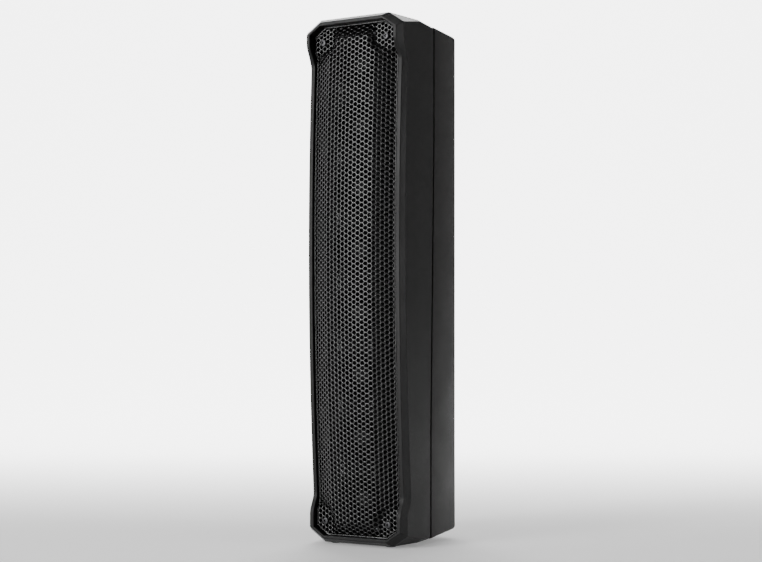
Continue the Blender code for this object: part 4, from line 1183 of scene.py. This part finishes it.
def make_filter():
    middle, size = centre("filter_board"), size_of("filter_board")
    bm = box(size, middle)
    bevel(
        bm, 0.0015, segments=3,
        keep=lambda edge: abs(edge.verts[0].co.y - edge.verts[1].co.y) > size.y / 2
    )
    obj = piece(
        "filter_board_looks", bm, board_laminate, ["filter_board"], crease=35
    )
    corners = [(side * (size.x / 2 - BOARD_HOLE_INSET), up * (size.z / 2 - BOARD_HOLE_INSET))
               for side in (-1, 1) for up in (-1, 1)]
    cut(obj, "DIFFERENCE", joined([
        rod(BOARD_HOLE_RADIUS, (x, middle.y - 0.01, middle.z + z), (x, middle.y + 0.01, middle.z + z), 16)
        for x, z in corners
    ]))
    face = middle.y - size.y / 2
    parts, leads = [], []
    for x in (-0.018, -0.011):
        profile = [(0, -0.0055), (0.0015, -0.0055), (0.0021, -0.0049), (0.0021, -0.0032), (0.0018, -0.0027),
                   (0.0018, 0.0027), (0.0021, 0.0032), (0.0021, 0.0049), (0.0015, 0.0055),
                   (0, 0.0055)]
        z = middle.z - 0.004
        parts.append(upright(turned(profile, 16), (x, face - 0.0026, z)))
        leads.append(lead([(x, face + 0.001, z - 0.008), (x, face - 0.0026, z - 0.008), (x, face - 0.0026, z + 0.008),
                           (x, face + 0.001, z + 0.008)]))
    piece("filter_resistors", joined(parts), resistor_clay, [])
    piece("filter_leads", joined(leads), plated_steel, [])

    low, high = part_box("filter_coil")
    middle = (low + high) / 2
    outer, inner, length, turns = (high.x - low.x) / 2, 0.005, high.y - low.y, 12
    wave = []
    for i in range(turns):
        start = low.y + 0.0006 + (length - 0.0012) * i / turns
        step = (length - 0.0012) / turns
        wave += [(outer - 0.0004, start), (outer, start + step * 0.3), (outer, start + step * 0.7)]
    layers = 7
    ring = [
        (mix(outer - 0.0006, inner + 0.0003, t), 0.0003 * (i % 2)) for i,
        t in enumerate(spread(0, 1, layers))
    ]
    profile = wave + [(r, high.y - lift) for r, lift in ring] + [
        (r, low.y + lift) for r, lift in reversed(ring)
    ]
    piece("filter_coil_looks", moved(turned(profile, 48), (middle.x, 0, middle.z)), coil_copper,
          ["filter_coil"], crease=50)

    low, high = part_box("filter_capacitor")
    middle, length, radius = (low + high) / 2, high.x - low.x, (high.z - low.z) / 2
    half = length / 2
    profile = [
        (0, -half + 0.0006), (radius * 0.72, -half + 0.0006), (radius * 0.78, -half),
        (radius * 0.92, -half),
        (radius, -half + 0.0008), (radius, -half + 0.0026), (radius * 0.93, -half + 0.0034),
        (radius * 0.93, -half + 0.0040), (radius, -half + 0.0048), (radius, half - 0.0010),
        (radius * 0.9, half),
        (0, half),
    ]
    bm = turned(profile, 40)
    bmesh.ops.rotate(
        bm, cent=(0, 0, 0), matrix=Matrix.Rotation(math.pi / 2, 3, "Z"), verts=bm.verts
    )
    piece(
        "filter_capacitor_looks", moved(bm, middle), capacitor_case,
        ["filter_capacitor"]
    )


def make_loom():
    """Four wires laid round each other, with ties."""
    low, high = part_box("wiring_loom")
    middle, length = (low + high) / 2, high.z - low.z
    wires, wire, lay, sides = 4, 0.00078, 0.045, 8
    strands = []
    for number in range(wires):
        start = 2 * math.pi * number / wires
        rings = []
        for t in spread(0, 1, 120):
            z = low.z + t * length
            a = start + 2 * math.pi * t * length / lay
            x, y = middle.x + 0.0011 * math.cos(a), middle.y + 0.0011 * math.sin(a)
            rings.append([(x + wire * math.cos(b), y + wire * math.sin(b), z)
                          for b in [2 * math.pi * k / sides for k in range(sides)]])
        strands.append(loft(rings))
    piece(
        "wiring_loom_looks", joined(strands), loom_sleeve, ["wiring_loom"], crease=60
    )
    ties = []
    for t in spread(0.06, 0.94, 6):
        profile = [(0.0016, -0.0012), (0.00195, -0.0012), (0.00195, 0.0012), (0.0016, 0.0012)]
        ties.append(upright(turned(profile, 24), (middle.x, middle.y, low.z + t * length)))
    piece("loom_ties", joined(ties), tie_nylon, [])


make_front_shell()
make_baffle()
make_rear_shell()
make_gasket()
make_grille()
make_screws()
for driver in range(DRIVERS):
    make_driver(driver)
make_connector_plate()
make_connector("speaker_socket_in")
make_connector("speaker_socket_link")
make_pole_socket()
make_feet()
make_wadding()
make_filter()
make_loom()

# Studio


def area(name, place, target, size, power, colour=(1, 1, 1)):
    """A soft box aimed at a point."""
    light = bpy.data.lights.new(name, "AREA")
    light.shape = "RECTANGLE"
    light.size, light.size_y = size
    light.energy = power
    light.color = colour
    obj = bpy.data.objects.new(name, light)
    bpy.context.scene.collection.objects.link(obj)
    obj.location = place
    obj.rotation_euler = (Vector(target) - Vector(place)).to_track_quat("-Z", "Y").to_euler()
    return obj


def make_studio():
    middle = (0, 0, MID_Z)
    area("key", (-0.92, -2.2, 0.8), middle, (0.7, 2.0), 62)
    area("left", (-2.4, -0.1, 0.7), middle, (0.8, 1.9), 10)
    area("top", (0.4, -0.5, 2.1), middle, (1.4, 1.2), 9)
    area("right", (2.4, 0.3, 0.7), middle, (0.5, 1.9), 20)
    area("rim", (2.6, 3.0, 1.5), middle, (0.6, 2.0), 4.0)
    world = bpy.data.worlds.new("studio")
    world.use_nodes = True
    back = world.node_tree.nodes["Background"]
    back.inputs["Color"].default_value = (1, 1, 1, 1)
    back.inputs["Strength"].default_value = 0.03
    bpy.context.scene.world = world
    bm = bmesh.new()
    profile = [(0, -4.0, 0), (0, 1.4, 0)]
    profile += [(0, SWEEP_START + SWEEP_RADIUS * math.sin(a), SWEEP_RADIUS - SWEEP_RADIUS * math.cos(a))
                for a in spread(0, math.pi / 2, 16)[1:]]
    profile += [(0, 3.0, 5.0)]
    verts = [bm.verts.new(p) for p in profile]
    edges = [bm.edges.new((verts[i], verts[i + 1])) for i in range(len(verts) - 1)]
    bmesh.ops.translate(bm, vec=(-3.5, 0, 0), verts=bm.verts)
    made = bmesh.ops.extrude_edge_only(bm, edges=edges)["geom"]
    bmesh.ops.translate(
        bm, vec=(7, 0, 0), verts=[v for v in made if isinstance(v, bmesh.types.BMVert)]
    )
    bmesh.ops.recalc_face_normals(bm, faces=bm.faces)
    # Painted light: the paper sweep glows white by its own emission, though it is no lamp. The strength rises from
    # 0.22 on the floor under and in front of the speaker to 5 from 1.9 m back. Outside a band that widens towards the
    # back it falls to 0.08 of that.
    material, tree, shader = graph("paper sweep")
    mottle = node(tree, "ShaderNodeTexNoise", Scale=1.4, Detail=3.0)
    place = tree.nodes.new("ShaderNodeTexCoord")
    tree.links.new(place.outputs["Object"], mottle.inputs["Vector"])
    tint = node(tree, "ShaderNodeMix", data_type="RGBA")
    tint.inputs[6].default_value = (0.66, 0.66, 0.66, 1)
    tint.inputs[7].default_value = (0.70, 0.70, 0.70, 1)
    tree.links.new(mottle.outputs["Fac"], tint.inputs[0])
    tree.links.new(tint.outputs[2], shader.inputs["Base Color"])
    shader.inputs["Roughness"].default_value = 0.9
    shader.inputs["Emission Color"].default_value = (1, 1, 1, 1)
    split = node(tree, "ShaderNodeSeparateXYZ")
    side = node(tree, "ShaderNodeMath", operation="ABSOLUTE")
    spot = node(tree, "ShaderNodeMath", operation="MULTIPLY_ADD")
    spot.inputs[1].default_value = -0.26
    pool = node(tree, "ShaderNodeMapRange", interpolation_type="SMOOTHSTEP")
    pool.inputs["From Min"].default_value = 0.50
    pool.inputs["From Max"].default_value = 0.95
    pool.inputs["To Min"].default_value = 1.0
    pool.inputs["To Max"].default_value = 0.08
    lit = node(tree, "ShaderNodeMath", operation="MULTIPLY")
    tree.links.new(split.outputs["X"], side.inputs[0])
    tree.links.new(split.outputs["Y"], spot.inputs[0])
    tree.links.new(side.outputs[0], spot.inputs[2])
    tree.links.new(spot.outputs[0], pool.inputs["Value"])
    tree.links.new(pool.outputs["Result"], lit.inputs[1])
    glow = node(tree, "ShaderNodeMapRange", interpolation_type="SMOOTHSTEP")
    glow.inputs["From Min"].default_value = 0.0
    glow.inputs["From Max"].default_value = 1.9
    glow.inputs["To Min"].default_value = 0.22
    glow.inputs["To Max"].default_value = 5.0
    tree.links.new(place.outputs["Object"], split.inputs[0])
    tree.links.new(split.outputs["Y"], glow.inputs["Value"])
    tree.links.new(glow.outputs["Result"], lit.inputs[0])
    tree.links.new(lit.outputs[0], shader.inputs["Emission Strength"])
    mesh = bpy.data.meshes.new("sweep")
    bm.to_mesh(mesh)
    bm.free()
    sweep = bpy.data.objects.new("sweep", mesh)
    bpy.context.scene.collection.objects.link(sweep)
    sweep.rotation_euler = (0, 0, math.radians(30))
    mesh.materials.append(material)
    mesh.shade_smooth()


def make_camera():
    data = bpy.data.cameras.new("camera")
    data.lens = 70.35
    data.sensor_width = 36
    data.shift_y = 0.0787
    camera = bpy.data.objects.new("camera", data)
    bpy.context.scene.collection.objects.link(camera)
    camera.location = (0.9139, BLOCK_Y - 1.5105, BOTTOM_Z + 0.2432)
    camera.rotation_euler = (math.radians(90), 0, math.radians(30))
    bpy.context.scene.camera = camera


make_studio()
make_camera()
